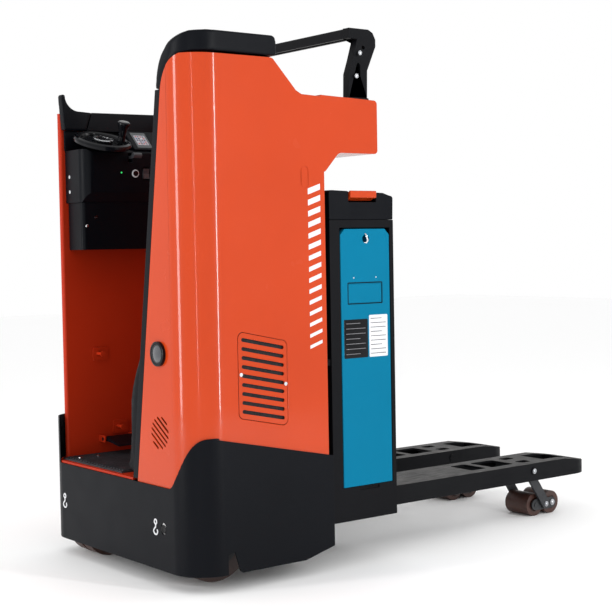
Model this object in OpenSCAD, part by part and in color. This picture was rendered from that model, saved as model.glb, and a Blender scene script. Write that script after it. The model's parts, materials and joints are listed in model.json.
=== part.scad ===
// Electric pallet truck with a side-stance stand-on platform.
// Millimetres, +Z up. The forks point along +X and the closed tower side is -Y.
// The origin is on the floor, at the middle of the overall length and width.
// The load frame is drawn raised by lift_rest above its lowest position.

/* [Overall] */
// Overall width of the tractor
truck_w = 790; // [760:5:950]
// Length of the tractor, from its rear face to its front
tractor_l = 458; // [450:2:560]
// Gap between the tractor and the load frame
frame_gap = 14; // [12:1:30]
// Length of the battery section of the load frame
battery_l = 232; // [190:2:290]
// Length of the forks in front of the battery
fork_l = 946; // [780:5:1300]

/* [Heights] */
// Lower edge of the skirt above the floor
skirt_z = 47; // [40:1:56]
// Top of the skirt at the rear step
step_z = 270; // [262:1:290]
// Top of the skirt at its rear corners
skirt_hi = 406; // [370:1:450]
// Top of the skirt at the front
skirt_lo = 322; // [300:1:350]
// Top of the tower cover
tower_z = 1398; // [1360:1:1450]
// Thickness of the cap above the tower cover
cap_t = 54; // [40:1:60]
// Underside of the hood over the battery
hood_z = 1150; // [1130:1:1180]
// Height of the hood
hood_h = 155; // [120:1:170]
// Height of the accessory frame above the hood
rack_h = 198; // [150:1:260]

/* [Tractor] */
// Radius of the tower's rear corner
corner_r = 100; // [60:2:120]
// Radius of the skirt's far rear corner
far_corner_r = 80; // [40:2:100]
// Wall of the plastic covers
cover_t = 4; // [3:0.5:5]
// Width of the tower at the step
tower_foot = 280; // [270:2:300]
// Width of the tower under its top curve
tower_head = 118; // [100:2:140]
// Radius of the tower's top curve
top_r = 110; // [80:2:112]
// Thickness of the backrest shell
backrest_t = 24; // [18:1:30]
// Thickness of the far wall
wall_t = 18; // [12:1:24]
// Depth of the console housing
console_d = 117; // [100:1:140]
// Top of the console
console_z = 1190; // [1150:1:1200]
// Pitch of the vent slots
vent_pitch = 23.5; // [21:0.5:26]

/* [Wheels] */
// Radius of the drive wheel
drive_r = 115; // [105:1:115]
// Width of the drive wheel
drive_w = 75; // [60:1:80]
// Radius of the caster wheels
caster_r = 75; // [60:1:80]
// Width of each caster wheel
caster_w = 45; // [35:1:50]
// Radius of the load rollers
roller_r = 37; // [30:0.5:37]
// Length of the load rollers
roller_w = 96; // [70:1:100]
// Distance between the two rollers of a pair
roller_pitch = 76; // [76:1:90]

/* [Forks] */
// Width of one fork
fork_w = 182; // [170:1:210]
// Height of a fork
fork_h = 57; // [56:1:70]
// Distance across the outside of both forks
fork_spread = 560; // [520:5:700]
// Plate thickness of the forks
fork_t = 7; // [5:0.5:7]
// Top of the forks as drawn
fork_z = 183; // [175:1:190]

/* [Steering] */
// Radius of the steering wheel to the middle of its rim
wheel_r = 76; // [66:1:78]
// Radius of the rim's section
rim_r = 8; // [6:0.5:9]
// Lean of the steering wheel towards the operator
wheel_lean = 20; // [10:1:30]

/* [Hidden] */

$fn = 48;
// Running clearance between a pin and its bore
run_fit = 0.08;
// Clearance between separate bodies
gap = 0.5;

// Main stations along the truck, measured from the rear face
truck_l = tractor_l + frame_gap + battery_l + fork_l;
load_x0 = tractor_l + frame_gap;
load_x1 = load_x0 + battery_l;
side_y = truck_w / 2;
// The covers stand just inside the skirt
inset = cover_t + gap;
cover_x1 = tractor_l - 8;
cover_y = -side_y + inset;
hood_x1 = cover_x1 + 187;
hood_top = hood_z + hood_h;
// Top of the base plate that carries the drive and the caster
base_t = 8;
base_z = step_z - 42;
base_top = base_z + base_t;
bulk_x = tractor_l - 22;
bulk_t = 8;
// Floor plate and mat
floor_t = 6;
mat_t = 8;
floor_top = step_z + floor_t;
// Inside face of the far wall
far_out = side_y - 30;
far_in = far_out - wall_t;
wall_x0 = 35;
wall_top = hood_top - 5;
// Slant of the tower's inner face
slant = (tower_foot - tower_head) / (tower_z - top_r / 2 - step_z);
slant_a = atan(slant);
// Drive unit
drive_x = 150;
drive_y = -side_y + 165;
neck_r = 62;
turret_z = base_top + 34;
sweep_r = norm([drive_r, drive_w / 2]) + 9;
// Caster
caster_x = 125;
caster_y = side_y - 133;
caster_trail = 30;
caster_leg_t = 10;
kingpin_r = 16;
caster_pin_r = 10;
// Forks and their arms
fork_y = (fork_spread - fork_w) / 2;
fork_bottom = fork_z - fork_h;
pivot_x = truck_l - 272;
pivot_z = fork_z - 25;
bogie_x = pivot_x + 84;
pin_r = 10;
stub_r = 8;
bogie_t = 5;
arm_t = 8;
bogie_y = roller_w / 2 + 2;
arm_y = bogie_y + bogie_t + 3;
lever_dx = -18;
lever_dz = -28;
rod_z = pivot_z - 12;
rod_r = 9;
rod_gap = 9.5;
// Battery pocket in the load frame
pocket_x0 = load_x0 + 36;
pocket_x1 = load_x1 - 14;
pocket_z0 = fork_z + 38;
pocket_z1 = pocket_z0 + 724;
lid_z = pocket_z1 + 22;
lid_top = lid_z + 82;
load_y = side_y - 20;
// Guides and lift cylinder
guide_y = 250;
guide_w = 40;
guide_d = 22;
lift_x = 402;
lift_y = -side_y + 52;
// Console and steering
console_x0 = 50;
console_x1 = bulk_x - 12;
console_y = far_in - console_d;
console_low = console_z - 155;
console_foot = console_low - 138;
wheel_x = 122;
wheel_y = console_y + 16;
wheel_z = console_z + 24;
shaft_r = 12;
knob_at = [50, -20];
dish_h = 13;
knob_pin_r = 6;
// Accessory frame
rack_x = hood_x1 - 65;
rack_w = 68;
rack_t = 26;
rack_y = side_y - 62;
rack_top = hood_top + rack_h;
rack_bolt_r = 5.5;
// Vent panel on the near face
vent_x = 228;
vent_z = 548;
vent_w = 160;
vent_h = 228;
vent_slots = 9;
vent_slope = 12;
// Rear face fittings
lamp_y = -side_y + 160;
lamp_z = 621;
lamp_r = 33;
horn_z = 412;

// ---------- shared shapes ----------

// Measures x from the rear face of the truck
module from_rear() {
    translate([-truck_l / 2, 0, 0]) children();
}

// Points of an arc from a0 to a1 degrees
function arc(c, r, a0, a1, n = 16) =
    [for (i = [0 : n]) c + r * [cos(a0 + (a1 - a0) * i / n), sin(a0 + (a1 - a0) * i / n)]];

// Extrudes an outline of [x, z] points across y0..y1
module across(y0, y1) {
    translate([0, y1, 0]) rotate([90, 0, 0]) linear_extrude(y1 - y0) children();
}

// Extrudes an outline of [y, z] points along x0..x1
module along(x0, x1) {
    translate([x0, 0, 0]) rotate([90, 0, 90]) linear_extrude(x1 - x0) children();
}

// A box from its two corners
module block(a, b) {
    translate(a) cube(b - a);
}

// A cylinder along Y between y0 and y1
module pin_y(x, z, r, y0, y1) {
    translate([x, y1, z]) rotate([90, 0, 0]) cylinder(r = r, h = y1 - y0);
}

// A cylinder along X between x0 and x1
module pin_x(y, z, r, x0, x1) {
    translate([x0, y, z]) rotate([0, 90, 0]) cylinder(r = r, h = x1 - x0);
}

// An upright slot with round ends
module slot2d(x, z0, z1, r) {
    polygon(concat(arc([x, z1], r, 0, 180, 12), arc([x, z0], r, 180, 360, 12)));
}

// A link with round ends, drawn between two points
module link2d(p, q, r) {
    d = q - p;
    translate(p) circle(r);
    translate(q) circle(r);
    translate(p) rotate(atan2(d[1], d[0])) translate([0, -r]) square([norm(d), 2 * r]);
}

// A rectangle with round corners, from its two corners
module round_rect(a, b, r) {
    translate(a + [r, 0]) square([b[0] - a[0] - 2 * r, b[1] - a[1]]);
    translate(a + [0, r]) square([b[0] - a[0], b[1] - a[1] - 2 * r]);
    for (x = [a[0] + r, b[0] - r], y = [a[1] + r, b[1] - r]) translate([x, y]) circle(r);
}

// Plan of the tractor with its two rear corners rounded, shrunk by t
module plan(t, x1, y1, far_r) {
    near = corner_r - t;
    far = max(far_r - t, 1);
    translate([t + near, -side_y + t]) square([x1 - t - near, near + 1]);
    translate([t, -side_y + t + near]) square([x1 - t, y1 + side_y - t - near - far]);
    translate([t + far, y1 - far - 1]) square([x1 - t - far, far + 1]);
    translate([t + near, -side_y + t + near]) circle(near, $fn = 96);
    translate([t + far, y1 - far]) circle(far, $fn = 96);
}

// Section of the tower across the truck: upright near face, slanted inner face, round top
function slant_y(z, grow) = cover_y + tower_foot + grow / cos(slant_a) - slant * (z - step_z);
function tower_arc(top, r, grow) =
    let (cz = top - r, cy = slant_y(cz, grow) - r / cos(slant_a))
    arc([cy, cz], r, slant_a, 90, 20);
function tower_section(z0, top, r, grow, near) =
    let (cz = top - r, cy = slant_y(cz, grow) - r / cos(slant_a),
         edge_z = cz + sqrt(r * r - pow(max(near - cy, 0), 2)),
         top_round = [for (p = tower_arc(top, r, grow)) if (p[0] > near + gap) p])
    concat([[near, z0], [slant_y(z0, grow), z0]], top_round, [[near, edge_z]]);

// Side outline of the tower, shrunk by t
ramp_x0 = tractor_l - 172;
ramp_x1 = tractor_l - 92;
module tower_side(t, z0) {
    polygon(concat(
        [[t, z0], [t, tower_z - t], [ramp_x0 - 18, tower_z - t]],
        arc([ramp_x0 - 18, tower_z - t - 20], 20, 90, 48, 6),
        [[ramp_x1 - 12, hood_top + 12 - t]],
        [[ramp_x1 + 6, hood_top + 3 - t], [cover_x1 - t, hood_top - t], [cover_x1 - t, z0]]));
}

// Side outline of the hood that reaches over the battery, shrunk by t
module hood_side(t, x0) {
    r = 12;
    polygon(concat(
        [[x0, hood_top - t]],
        arc([hood_x1 - t - r, hood_top - 6 - t - r], r, 90, 0, 6),
        arc([hood_x1 - t - r, hood_z + t + r], r, 0, -90, 6),
        [[cover_x1 + 62, hood_z + t]],
        arc([cover_x1 + 58, hood_z + t - 26], 26, 90, 125, 5),
        [[cover_x1 - t, hood_z - 52 + t], [x0, hood_z - 52 + t]]));
}

// ---------- chassis and floor ----------

// Plan of a plate that fills the skirt with a clearance t
module tractor_plate(t) {
    plan(cover_t + t, bulk_x, side_y - cover_t - t, far_corner_r - cover_t);
}

module chassis_frame() color("#2b2d31") from_rear() {
    difference() {
        union() {
            // base plate over the wheels
            translate([0, 0, base_z]) linear_extrude(base_t) tractor_plate(2);
            // front bulkhead
            block([bulk_x, cover_y + 15, skirt_z + 20], [bulk_x + bulk_t, far_in - 1, hood_z - 60]);
            // turret that carries the drive bearing
            translate([drive_x, drive_y, base_top - 1]) cylinder(r = sweep_r + 8, h = 35);
            // ribs under the floor plate
            for (y = [-70, 130, 330]) block([20, y, base_top - 1], [bulk_x, y + 8, step_z]);
        }
        // room for the drive wheel to turn
        translate([drive_x, drive_y, base_z - 1]) cylinder(r = sweep_r, h = turret_z - 8 - base_z + 1);
        translate([drive_x, drive_y, base_z - 1]) cylinder(r = neck_r + 3, h = 80);
        // slot for the lift bracket
        block([bulk_x - 1, lift_y - 34, 390], [bulk_x + bulk_t + 1, lift_y + 34, 640]);
    }
    // guide rails for the load frame
    for (s = [-1, 1])
        block([bulk_x + bulk_t, s * guide_y - guide_w / 2, 90],
              [bulk_x + bulk_t + guide_d, s * guide_y + guide_w / 2, 900]);
}

module skirt() color("#17191d") from_rear() {
    difference() {
        translate([0, 0, skirt_z]) linear_extrude(skirt_hi - skirt_z) difference() {
            plan(0, tractor_l, side_y, far_corner_r);
            plan(cover_t, tractor_l + 1, side_y - cover_t, far_corner_r - cover_t);
        }
        skirt_step_cut();
        skirt_side_cut();
        // tie-down notch on the near side
        across(-side_y - 1, -side_y + cover_t + 1) polygon(
            [[104, skirt_z - 1], [104, skirt_z + 52], [124, skirt_z + 58], [140, skirt_z + 6],
             [150, skirt_z - 1]]);
        // raised lower edge towards the front
        across(-side_y - 1, side_y + 1) polygon(
            [[tractor_l - 104, skirt_z - 1], [tractor_l + 1, skirt_z + 26], [tractor_l + 1, skirt_z - 1]]);
        // towing hole in the rear face
        along(-1, cover_t + 1) link2d([-side_y + 149, 156], [-side_y + 149, 164], 12);
    }
}

// Cuts the rear face down to the step, with an S curve up to the near corner
module skirt_step_cut() {
    s0 = -side_y + 8;
    s1 = -side_y + 122;
    far = side_y - 66;
    rise = skirt_hi - step_z;
    steps = 24;
    along(-1, far_corner_r + 4) polygon(concat(
        [for (i = [0 : steps]) [s0 + (s1 - s0) * i / steps,
                                step_z + rise * (1 + cos(180 * i / steps)) / 2]],
        [[far, step_z], [far, skirt_hi + 1], [s0, skirt_hi + 1]]));
}

// Slopes the top of both sides down towards the front
module skirt_side_cut() {
    for (s = [[-side_y - 1, -side_y + cover_t + 1], [side_y - cover_t - 1, side_y + 1]])
        across(s[0], s[1]) polygon(
            [[60, skirt_hi], [tractor_l + 1, skirt_lo], [tractor_l + 1, skirt_hi + 1],
             [60, skirt_hi + 1]]);
}

module floor_plate() color("#d2542c") from_rear() intersection() {
    block([0, slant_y(step_z, backrest_t) + gap, step_z], [bulk_x - 1, side_y, floor_top]);
    translate([0, 0, step_z]) linear_extrude(floor_t) tractor_plate(0.5);
}

module floor_mat() color("#34363a") from_rear() {
    y0 = slant_y(step_z, backrest_t) + 84;
    y1 = far_in - 8;
    x0 = 18;
    x1 = bulk_x - 22;
    block([x0, y0, floor_top], [x1, y1, floor_top + mat_t - 3]);
    // raised ribs
    for (y = [y0 + 6 : 16 : y1 - 14])
        block([x0 + 8, y, floor_top + mat_t - 3], [x1 - 8, y + 8, floor_top + mat_t]);
}

// ---------- walls and hood ----------

module far_wall() color("#e2582f") from_rear() {
    skin = 3;
    hood_edge = bulk_x - 10;
    difference() {
        union() {
            translate([0, 0, floor_top]) linear_extrude(wall_top - floor_top)
                difference() {
                    round_rect([wall_x0, far_in], [bulk_x + bulk_t, far_out], 8);
                    translate([wall_x0 + skin, far_in + skin])
                        square([bulk_x + bulk_t - wall_x0 - 2 * skin, wall_t - 2 * skin]);
                }
            // closing strip along the top edge
            block([wall_x0 + 8, far_in + skin, wall_top - skin], [hood_edge - 1, far_out - skin, wall_top]);
        }
        // the hood takes over above the bulkhead
        block([hood_edge - gap, far_in - 1, hood_z - 52 - gap],
              [bulk_x + bulk_t + 1, far_out + 1, wall_top + 1]);
    }
}

module front_wall() color("#c94f2a") from_rear()
    along(bulk_x - 10, bulk_x - 1) polygon(
        [[slant_y(floor_top, backrest_t) + 2, floor_top], [far_in - 1, floor_top],
         [far_in - 1, hood_z - 60], [slant_y(hood_z - 60, backrest_t) + 2, hood_z - 60]]);

module front_hood() color("#e2582f") from_rear() {
    y0 = cover_y + 141;
    difference() {
        across(y0, far_out) hood_side(0, bulk_x - 10);
        across(y0 + cover_t, far_out - cover_t) hood_side(cover_t, bulk_x - 10 + cover_t);
        // clear of the tower's slanted side
        along(bulk_x - 12, cover_x1 + gap)
            polygon(tower_section(step_z, tower_z, top_r, gap, cover_y - 1));
        // the underside is open to the bulkhead
        block([bulk_x - 10 + cover_t, y0 + cover_t, hood_z - 60],
              [cover_x1 - cover_t, far_out - cover_t, hood_z]);
    }
}

// ---------- tower ----------

// Solid block of the tower, shrunk by t on its outer faces
module tower_block(t, z0, open) {
    intersection() {
        translate([0, 0, z0]) linear_extrude(tower_z) plan(inset + t, cover_x1 - t, side_y, 1);
        along(-1, cover_x1 + 1)
            polygon(tower_section(z0 - 1, tower_z - t, top_r - t, open, cover_y + t));
        across(-side_y, side_y) tower_side(inset + t, z0 - 2);
    }
}

module tower_cover() color("#e2582f") from_rear() {
    z0 = step_z - 6;
    y1 = cover_y + 140;
    difference() {
        union() {
            tower_block(0, z0, 0);
            across(cover_y, y1) hood_side(0, bulk_x);
        }
        // the cavity opens downwards and towards the backrest shell
        tower_block(cover_t, z0 - 8, 1);
        across(cover_y + cover_t, y1 - cover_t) hood_side(cover_t, bulk_x - 30);
        // open front below the hood, where the bulkhead closes the tower
        block([bulk_x - 2, cover_y + 14, z0 - 9], [cover_x1 + 1, slant_y(z0, 0) + gap, hood_z - 58]);
        vent_cut(vent_w, vent_h);
        horn_slots();
        pin_x(lamp_y, lamp_z, lamp_r - 4, -1, inset + cover_t + 2);
        // pressed groove below the hood
        across(cover_y - 1, cover_y + 1) difference() {
            round_rect([ramp_x1 - 4, 1052], [ramp_x1 + 24, 1112], 13);
            round_rect([ramp_x1, 1056], [ramp_x1 + 20, 1108], 9.5);
        }
    }
}

// Outline of the vent panel, leaning down towards the front
module vent_outline(w, h) {
    r = 16;
    x = w / 2 - r;
    fall = tan(vent_slope) * x;
    polygon(concat(arc([x, h / 2 - fall - r], r, 90, 0, 6), arc([x, -h / 2 - fall + r], r, 0, -90, 6),
                   arc([-x, -h / 2 + fall + r], r, 270, 180, 6), arc([-x, h / 2 + fall - r], r, 180, 90, 6)));
}

module vent_cut(w, h) {
    across(cover_y - 1, cover_y + cover_t + 1) translate([vent_x, vent_z]) vent_outline(w, h);
}

module vent_panel() color("#dd562e") from_rear() {
    slot_l = vent_w - 30;
    difference() {
        vent_plate(2.6);
        for (i = [0 : vent_slots - 1])
            across(cover_y - 1, cover_y + cover_t + 1)
                translate([vent_x, vent_z + (i - (vent_slots - 1) / 2) * vent_pitch])
                    rotate(-vent_slope) link2d([-slot_l / 2, 0], [slot_l / 2, 0], 5);
        for (s = [-1, 1])
            pin_y(vent_x + s * (vent_w / 2 - 8), vent_z - s * 17, 2.6, cover_y - 1, cover_y + cover_t + 1);
    }
}

// The panel itself, set just inside its opening
module vent_plate(t) {
    across(cover_y, cover_y + t) translate([vent_x, vent_z]) vent_outline(vent_w - 2.4, vent_h - 2.4);
}

// Slanted sound slots in the rear face
module horn_slots() {
    half = 44;
    for (i = [-3 : 3]) {
        off = i * 13.5;
        run = sqrt(half * half - off * off) - 4;
        along(-1, inset + cover_t + 2) translate([lamp_y + 4, horn_z]) rotate(33)
            link2d([-run, off], [run, off], 3);
    }
}

module tower_cap() color("#1b1d22") from_rear() {
    cap_x1 = ramp_x0 + 6;
    difference() {
        intersection() {
            translate([0, 0, tower_z - 90]) linear_extrude(200) plan(inset, cap_x1, side_y, 1);
            along(0, cap_x1 + 1) polygon(tower_section(tower_z - 89, tower_z + cap_t,
                                                       top_r + 27, backrest_t, cover_y));
            across(-side_y, side_y) cap_side(cap_x1);
        }
        along(-1, cap_x1 + 2)
            polygon(tower_section(tower_z - 92, tower_z + gap, top_r + gap, gap, cover_y - 1));
        // a hollow underneath keeps the cap light
        along(inset + corner_r, cap_x1 - 16) polygon(tower_section(tower_z - 92, tower_z + cap_t - 16,
                                                                  top_r + 11, backrest_t - 14, cover_y + 14));
    }
}

// Side outline of the cap with soft upper edges
module cap_side(x1) {
    r = 14;
    r_rear = 46;
    top = tower_z + cap_t + 0.6;
    polygon(concat([[0, tower_z - 89]],
                   arc([inset + r_rear, top - r_rear], r_rear, 160, 90, 8),
                   arc([x1 - r - 1, top - r], r, 90, 0, 8),
                   [[x1 - 1, tower_z - 89]]));
}

module backrest_shell() color("#1b1d22") from_rear() {
    top = tower_z - 90;
    difference() {
        intersection() {
            along(inset, bulk_x - 12) polygon(
                [[slant_y(floor_top, gap), floor_top], [slant_y(floor_top, backrest_t), floor_top],
                 [slant_y(top, backrest_t), top], [slant_y(top, gap), top]]);
            across(-side_y, side_y) tower_side(inset, 0);
        }
        // ribbed hollow on the hidden side
        for (z = [floor_top + 30 : 190 : top - 190])
            along(inset + 20, bulk_x - 32) polygon(
                [[slant_y(z, -2), z], [slant_y(z, backrest_t - 6), z],
                 [slant_y(z + 160, backrest_t - 6), z + 160], [slant_y(z + 160, -2), z + 160]]);
    }
}

module backrest_pad() color("#202227") from_rear() {
    z0 = 790;
    z1 = 1240;
    t = backrest_t + 46;
    intersection() {
        along(60, bulk_x - 40) polygon(
            [[slant_y(z0, backrest_t), z0], [slant_y(z0, t - 14), z0], [slant_y(z0 + 16, t), z0 + 16],
             [slant_y(z1 - 16, t), z1 - 16], [slant_y(z1, t - 14), z1], [slant_y(z1, backrest_t), z1]]);
        translate([0, 0, z0]) linear_extrude(z1 - z0)
            round_rect([60, cover_y], [bulk_x - 40, cover_y + tower_foot + 60], 18);
    }
}

module leg_pad() color("#202227") from_rear() {
    z0 = floor_top + 6;
    z1 = 730;
    deep = backrest_t + 78;
    steps = 12;
    intersection() {
        along(26, bulk_x - 30) polygon(concat(
            [[slant_y(z0, backrest_t), z0], [slant_y(z0, deep) - 14, z0], [slant_y(z0 + 12, deep), z0 + 12]],
            [for (i = [0 : steps]) let (z = 470 + (z1 - 470) * i / steps)
                [slant_y(z, backrest_t + 2 + (deep - backrest_t - 2) * (1 + cos(180 * i / steps)) / 2), z]],
            [[slant_y(z1, backrest_t), z1]]));
        translate([0, 0, z0]) linear_extrude(z1 - z0)
            round_rect([26, cover_y], [bulk_x - 30, cover_y + tower_foot + 120], 24);
    }
}

module rear_lamp() color("#15161a") from_rear() difference() {
    union() {
        pin_x(lamp_y, lamp_z, lamp_r, gap, inset);
        pin_x(lamp_y, lamp_z, lamp_r - 4.5, -1, inset + 34);
    }
    pin_x(lamp_y, lamp_z, lamp_r - 7, 0, inset + 8);
}

// ---------- console side ----------

rail_x0 = wall_x0 + 4;
rail_z0 = console_z + 60;
module guard_rail() color("#1d1f24") from_rear() {
    // padded upper band
    across(far_in - 24, far_in - gap) polygon(
        [[rail_x0 + 74, rail_z0], [rail_x0 + 92, hood_top], [bulk_x - 12, hood_top + 4],
         [bulk_x - 12, rail_z0]]);
    // thin liner down to the console
    block([rail_x0 + 8, far_in - 9, console_z + gap], [bulk_x - 12, far_in - gap, rail_z0]);
}

module grab_horn() color("#1d1f24") from_rear() {
    r = 46;
    tip_z = hood_top + 50;
    across(far_in - 26, far_in - gap) difference() {
        polygon(concat([[rail_x0, rail_z0 + gap], [rail_x0 - 8, tip_z - 6], [rail_x0 - 4, tip_z]],
                       arc([rail_x0 + 50, tip_z - 2], r, 180, 268, 12),
                       [[rail_x0 + 90, hood_top], [rail_x0 + 72, rail_z0 + gap]]));
    }
}

module console_housing() color("#20232a") from_rear() difference() {
    intersection() {
        along(console_x0, console_x1) polygon(
            [[far_in - gap, console_low], [console_y + 22, console_low], [console_y, console_low + 30],
             [console_y, console_z - 8], [console_y + 8, console_z], [far_in - gap, console_z]]);
        translate([0, 0, console_low]) linear_extrude(console_z - console_low + 1)
            round_rect([console_x0, console_y], [console_x1, far_in + 60], 34);
    }
    // hollow behind the fascia
    block([console_x0 + 12, console_y + 30, console_low - 1],
          [console_x1 - 12, far_in - 12, console_z - 60]);
    // sockets for the button, the rocker and the lever
    pin_y(button_x, button_z, button_r + run_fit, console_y - 1, console_y + 14);
    block([rocker_x - 11, console_y - 1, button_z - 18], [rocker_x + 11, console_y + 13, button_z + 18]);
    block([lever_x - 6, console_y - 1, lever_z - 14], [lever_x + 6, console_y + 24, lever_z + 14]);
    // bore of the steering shaft
    steering_axis() translate([0, 0, -64]) cylinder(r = shaft_r + run_fit, h = 80);
}

module console_base() color("#0f1014") from_rear() difference() {
    translate([0, 0, console_foot]) linear_extrude(console_low - console_foot - gap)
        round_rect([console_x0 + 4, console_y + 24], [console_x1, far_in - gap], 12);
    block([console_x0 + 12, console_y + 32, console_foot - 1],
          [console_x1 - 8, far_in - 9, console_low - 8]);
}

display_x = 222;
display_w = 118;
display_h = 62;
module display_housing() color("#23252b") from_rear() difference() {
    along(display_x, display_x + display_w) polygon(
        [[console_y + 4, console_z + gap], [far_in - 34, console_z + gap],
         [far_in - 34, console_z + display_h], [console_y + 4 + display_h, console_z + display_h],
         [console_y + 4, console_z + gap + 3]]);
    on_display() translate([-26, -35, -2]) cube([52, 70, 6]);
}

// Middle of the sloping display face, with z along its normal
module on_display() {
    translate([display_x + 42, console_y + 4 + display_h / 2, console_z + 2 + display_h / 2])
        rotate([44, 0, 0]) children();
}

module display_screen() color("#3b4a55") from_rear()
    on_display() translate([-26 + gap, -35 + gap, -1.5]) cube([52 - 2 * gap, 70 - 2 * gap, 2]);

// Frame of the steering wheel: z along its axis, the near rim lower than the far rim
module steering_axis() {
    translate([wheel_x, wheel_y, wheel_z]) rotate([wheel_lean, 0, 0]) children();
}

module steering_shaft() color("#8a8d92") from_rear()
    steering_axis() translate([0, 0, -60]) cylinder(r = shaft_r, h = 60 - dish_h);

module steering_wheel() color("#15161a") from_rear() steering_axis() {
    rotate_extrude($fn = 96) translate([wheel_r, 0]) circle(rim_r, $fn = 24);
    // dished centre with its metal ring
    difference() {
        union() {
            rotate_extrude($fn = 96) polygon(
                [[0, -dish_h], [50, -dish_h], [wheel_r - 5, -6], [wheel_r - 5, -1], [0, -1]]);
            translate([0, 0, -7]) cylinder(r = 30, h = 16);
        }
        translate([0, 0, -dish_h - 1]) cylinder(r = 5, h = dish_h + 3);
    }
    // post of the spinner knob
    translate([knob_at[0], knob_at[1], -4]) cylinder(r = knob_pin_r, h = 22);
}

module spinner_knob() color("#1b1c20") from_rear()
    steering_axis() translate([knob_at[0], knob_at[1], 4]) difference() {
        rotate_extrude() polygon([[0, 0], [12, 0], [10.5, 18], [12.5, 38], [16, 50], [18, 56], [18, 60],
                                   [15, 63], [0, 64]]);
        translate([0, 0, -5]) cylinder(r = knob_pin_r + run_fit, h = 20);
    }

button_x = 221;
button_z = console_z - 69;
button_r = 8;
rocker_x = 257;
lever_x = 205;
lever_z = console_z - 22;

module start_button() color("#101114") from_rear()
    pin_y(button_x, button_z, button_r, console_y - 4, console_y + 8);

module rocker_switch() color("#5a5e66") from_rear() {
    along(rocker_x - 10.4, rocker_x + 10.4) polygon(
        [[console_y - 4, button_z - 15], [console_y - 1.5, button_z], [console_y - 4, button_z + 15],
         [console_y + 5, button_z + 13], [console_y + 8, button_z], [console_y + 5, button_z - 13]]);
    // stub axle
    pin_x(console_y + 4, button_z, 3, rocker_x - 10.8, rocker_x + 10.8);
}

module lift_lever() color("#6d7076") from_rear() {
    along(lever_x - 4, lever_x + 4)
        link2d([console_y + 10, lever_z], [console_y - 34, lever_z + 4], 4);
    pin_x(console_y - 38, lever_z + 4, 8, lever_x - 14, lever_x + 14);
}

module wall_brackets() color("#d8552d") from_rear() {
    for (p = [[152, 582], [216, 356]]) {
        across(far_in - 4, far_in - gap) translate(p) round_rect([-26, -20], [26, 20], 6);
        pin_y(p[0] - 10, p[1] + 2, 5, far_in - 34, far_in - 4);
        pin_y(p[0] - 10, p[1] + 2, 8, far_in - 38, far_in - 34);
    }
    // ears that carry the pedal's pin
    for (x = [pedal_x - 9, pedal_x + pedal_w + 3]) difference() {
        block([x, pedal_y - 10, pedal_z + 10], [x + 6, far_in - gap, pedal_z + 30]);
        pin_x(pedal_y, pedal_z + 20, pedal_pin_r + run_fit, x - 1, x + 7);
    }
}

pedal_x = 150;
pedal_w = 90;
pedal_z = floor_top + 30;
pedal_y = far_in - 26;
pedal_pin_r = 5;
module deadman_pedal() color("#17181b") from_rear() {
    y0 = far_in - 104;
    along(pedal_x, pedal_x + pedal_w) polygon(
        [[y0, pedal_z + 4], [y0 + 6, pedal_z + 10], [y0 + 60, pedal_z + 26], [pedal_y, pedal_z + 28],
         [pedal_y + 6, pedal_z + 20], [pedal_y, pedal_z + 12], [y0 + 60, pedal_z + 12]]);
    pin_x(pedal_y, pedal_z + 20, pedal_pin_r, pedal_x - 10, pedal_x + pedal_w + 10);
}

module cover_screws() color("#b9bcc2") from_rear() {
    head = 5;
    // vent panel
    for (s = [-1, 1]) {
        x = vent_x + s * (vent_w / 2 - 8);
        pin_y(x, vent_z - s * 17, 2.5, cover_y - 0.4, cover_y + 10);
        pin_y(x, vent_z - s * 17, head, cover_y - 2.4, cover_y - 0.4);
    }
    // console end panel and fascia
    for (z = [console_z - 78, console_z - 122]) pin_x(far_in - 30, z, head, console_x0 - 2, console_x0);
    pin_y(console_x0 + 48, console_low - 42, head, console_y + 22, console_y + 24);
    // floor mat
    for (x = [40, 100]) translate([x, far_in - 70, floor_top + mat_t]) cylinder(r = 6, h = 3);
}

// ---------- accessory frame ----------

module accessory_frame() color("#1a1b1f") from_rear() {
    lean = 38;
    post = [[rack_x, hood_top - 4], [rack_x + rack_w, hood_top - 4], [rack_x + rack_w + 2, hood_top + 82],
            [rack_x + rack_w + lean - 4, rack_top - 46], [rack_x + rack_w + lean - 4, rack_top - 26],
            [rack_x + rack_w + lean - 14, rack_top - 8], [rack_x + rack_w + lean - 30, rack_top],
            [rack_x + 4, rack_top], [rack_x + 4, rack_top - 29], [rack_x + 34, rack_top - 30],
            [rack_x + 16, hood_top + 110], [rack_x + 2, hood_top + 70]];
    for (s = [-1, 1]) difference() {
        across(s * rack_y - rack_t / 2, s * rack_y + rack_t / 2) polygon(post);
        // slot on the outside face of each post
        across(s * rack_y + s * rack_t / 2 - 9, s * rack_y + s * rack_t / 2 + 9)
            slot2d(rack_x + rack_w / 2 + 3, hood_top + 30, hood_top + 96, 6);
        pin_y(rack_x + rack_w / 2 + 22, rack_top - 52, rack_bolt_r,
              s * rack_y - rack_t, s * rack_y + rack_t);
    }
    // cross bar, an open channel
    difference() {
        block([rack_x + 6, -rack_y, rack_top - 28], [rack_x + 42, rack_y, rack_top - 1]);
        block([rack_x + 8, -rack_y + rack_t, rack_top - 25], [rack_x + 40, rack_y - rack_t, rack_top - 4]);
        block([rack_x + 16, -rack_y + rack_t, rack_top - 30], [rack_x + 32, rack_y - rack_t, rack_top - 20]);
    }
    // foot plates
    for (s = [-1, 1])
        block([rack_x - 8, s * rack_y - 22, hood_top - 2],
              [rack_x + rack_w - 2, s * rack_y + 22, hood_top + 4]);
}

// ---------- caster ----------

module caster_plate() color("#55585e") from_rear() {
    translate([caster_x, caster_y, base_z - 12]) cylinder(r = 58, h = 12);
    translate([caster_x, caster_y, base_z - 30]) cylinder(r = kingpin_r, h = 30);
}

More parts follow.
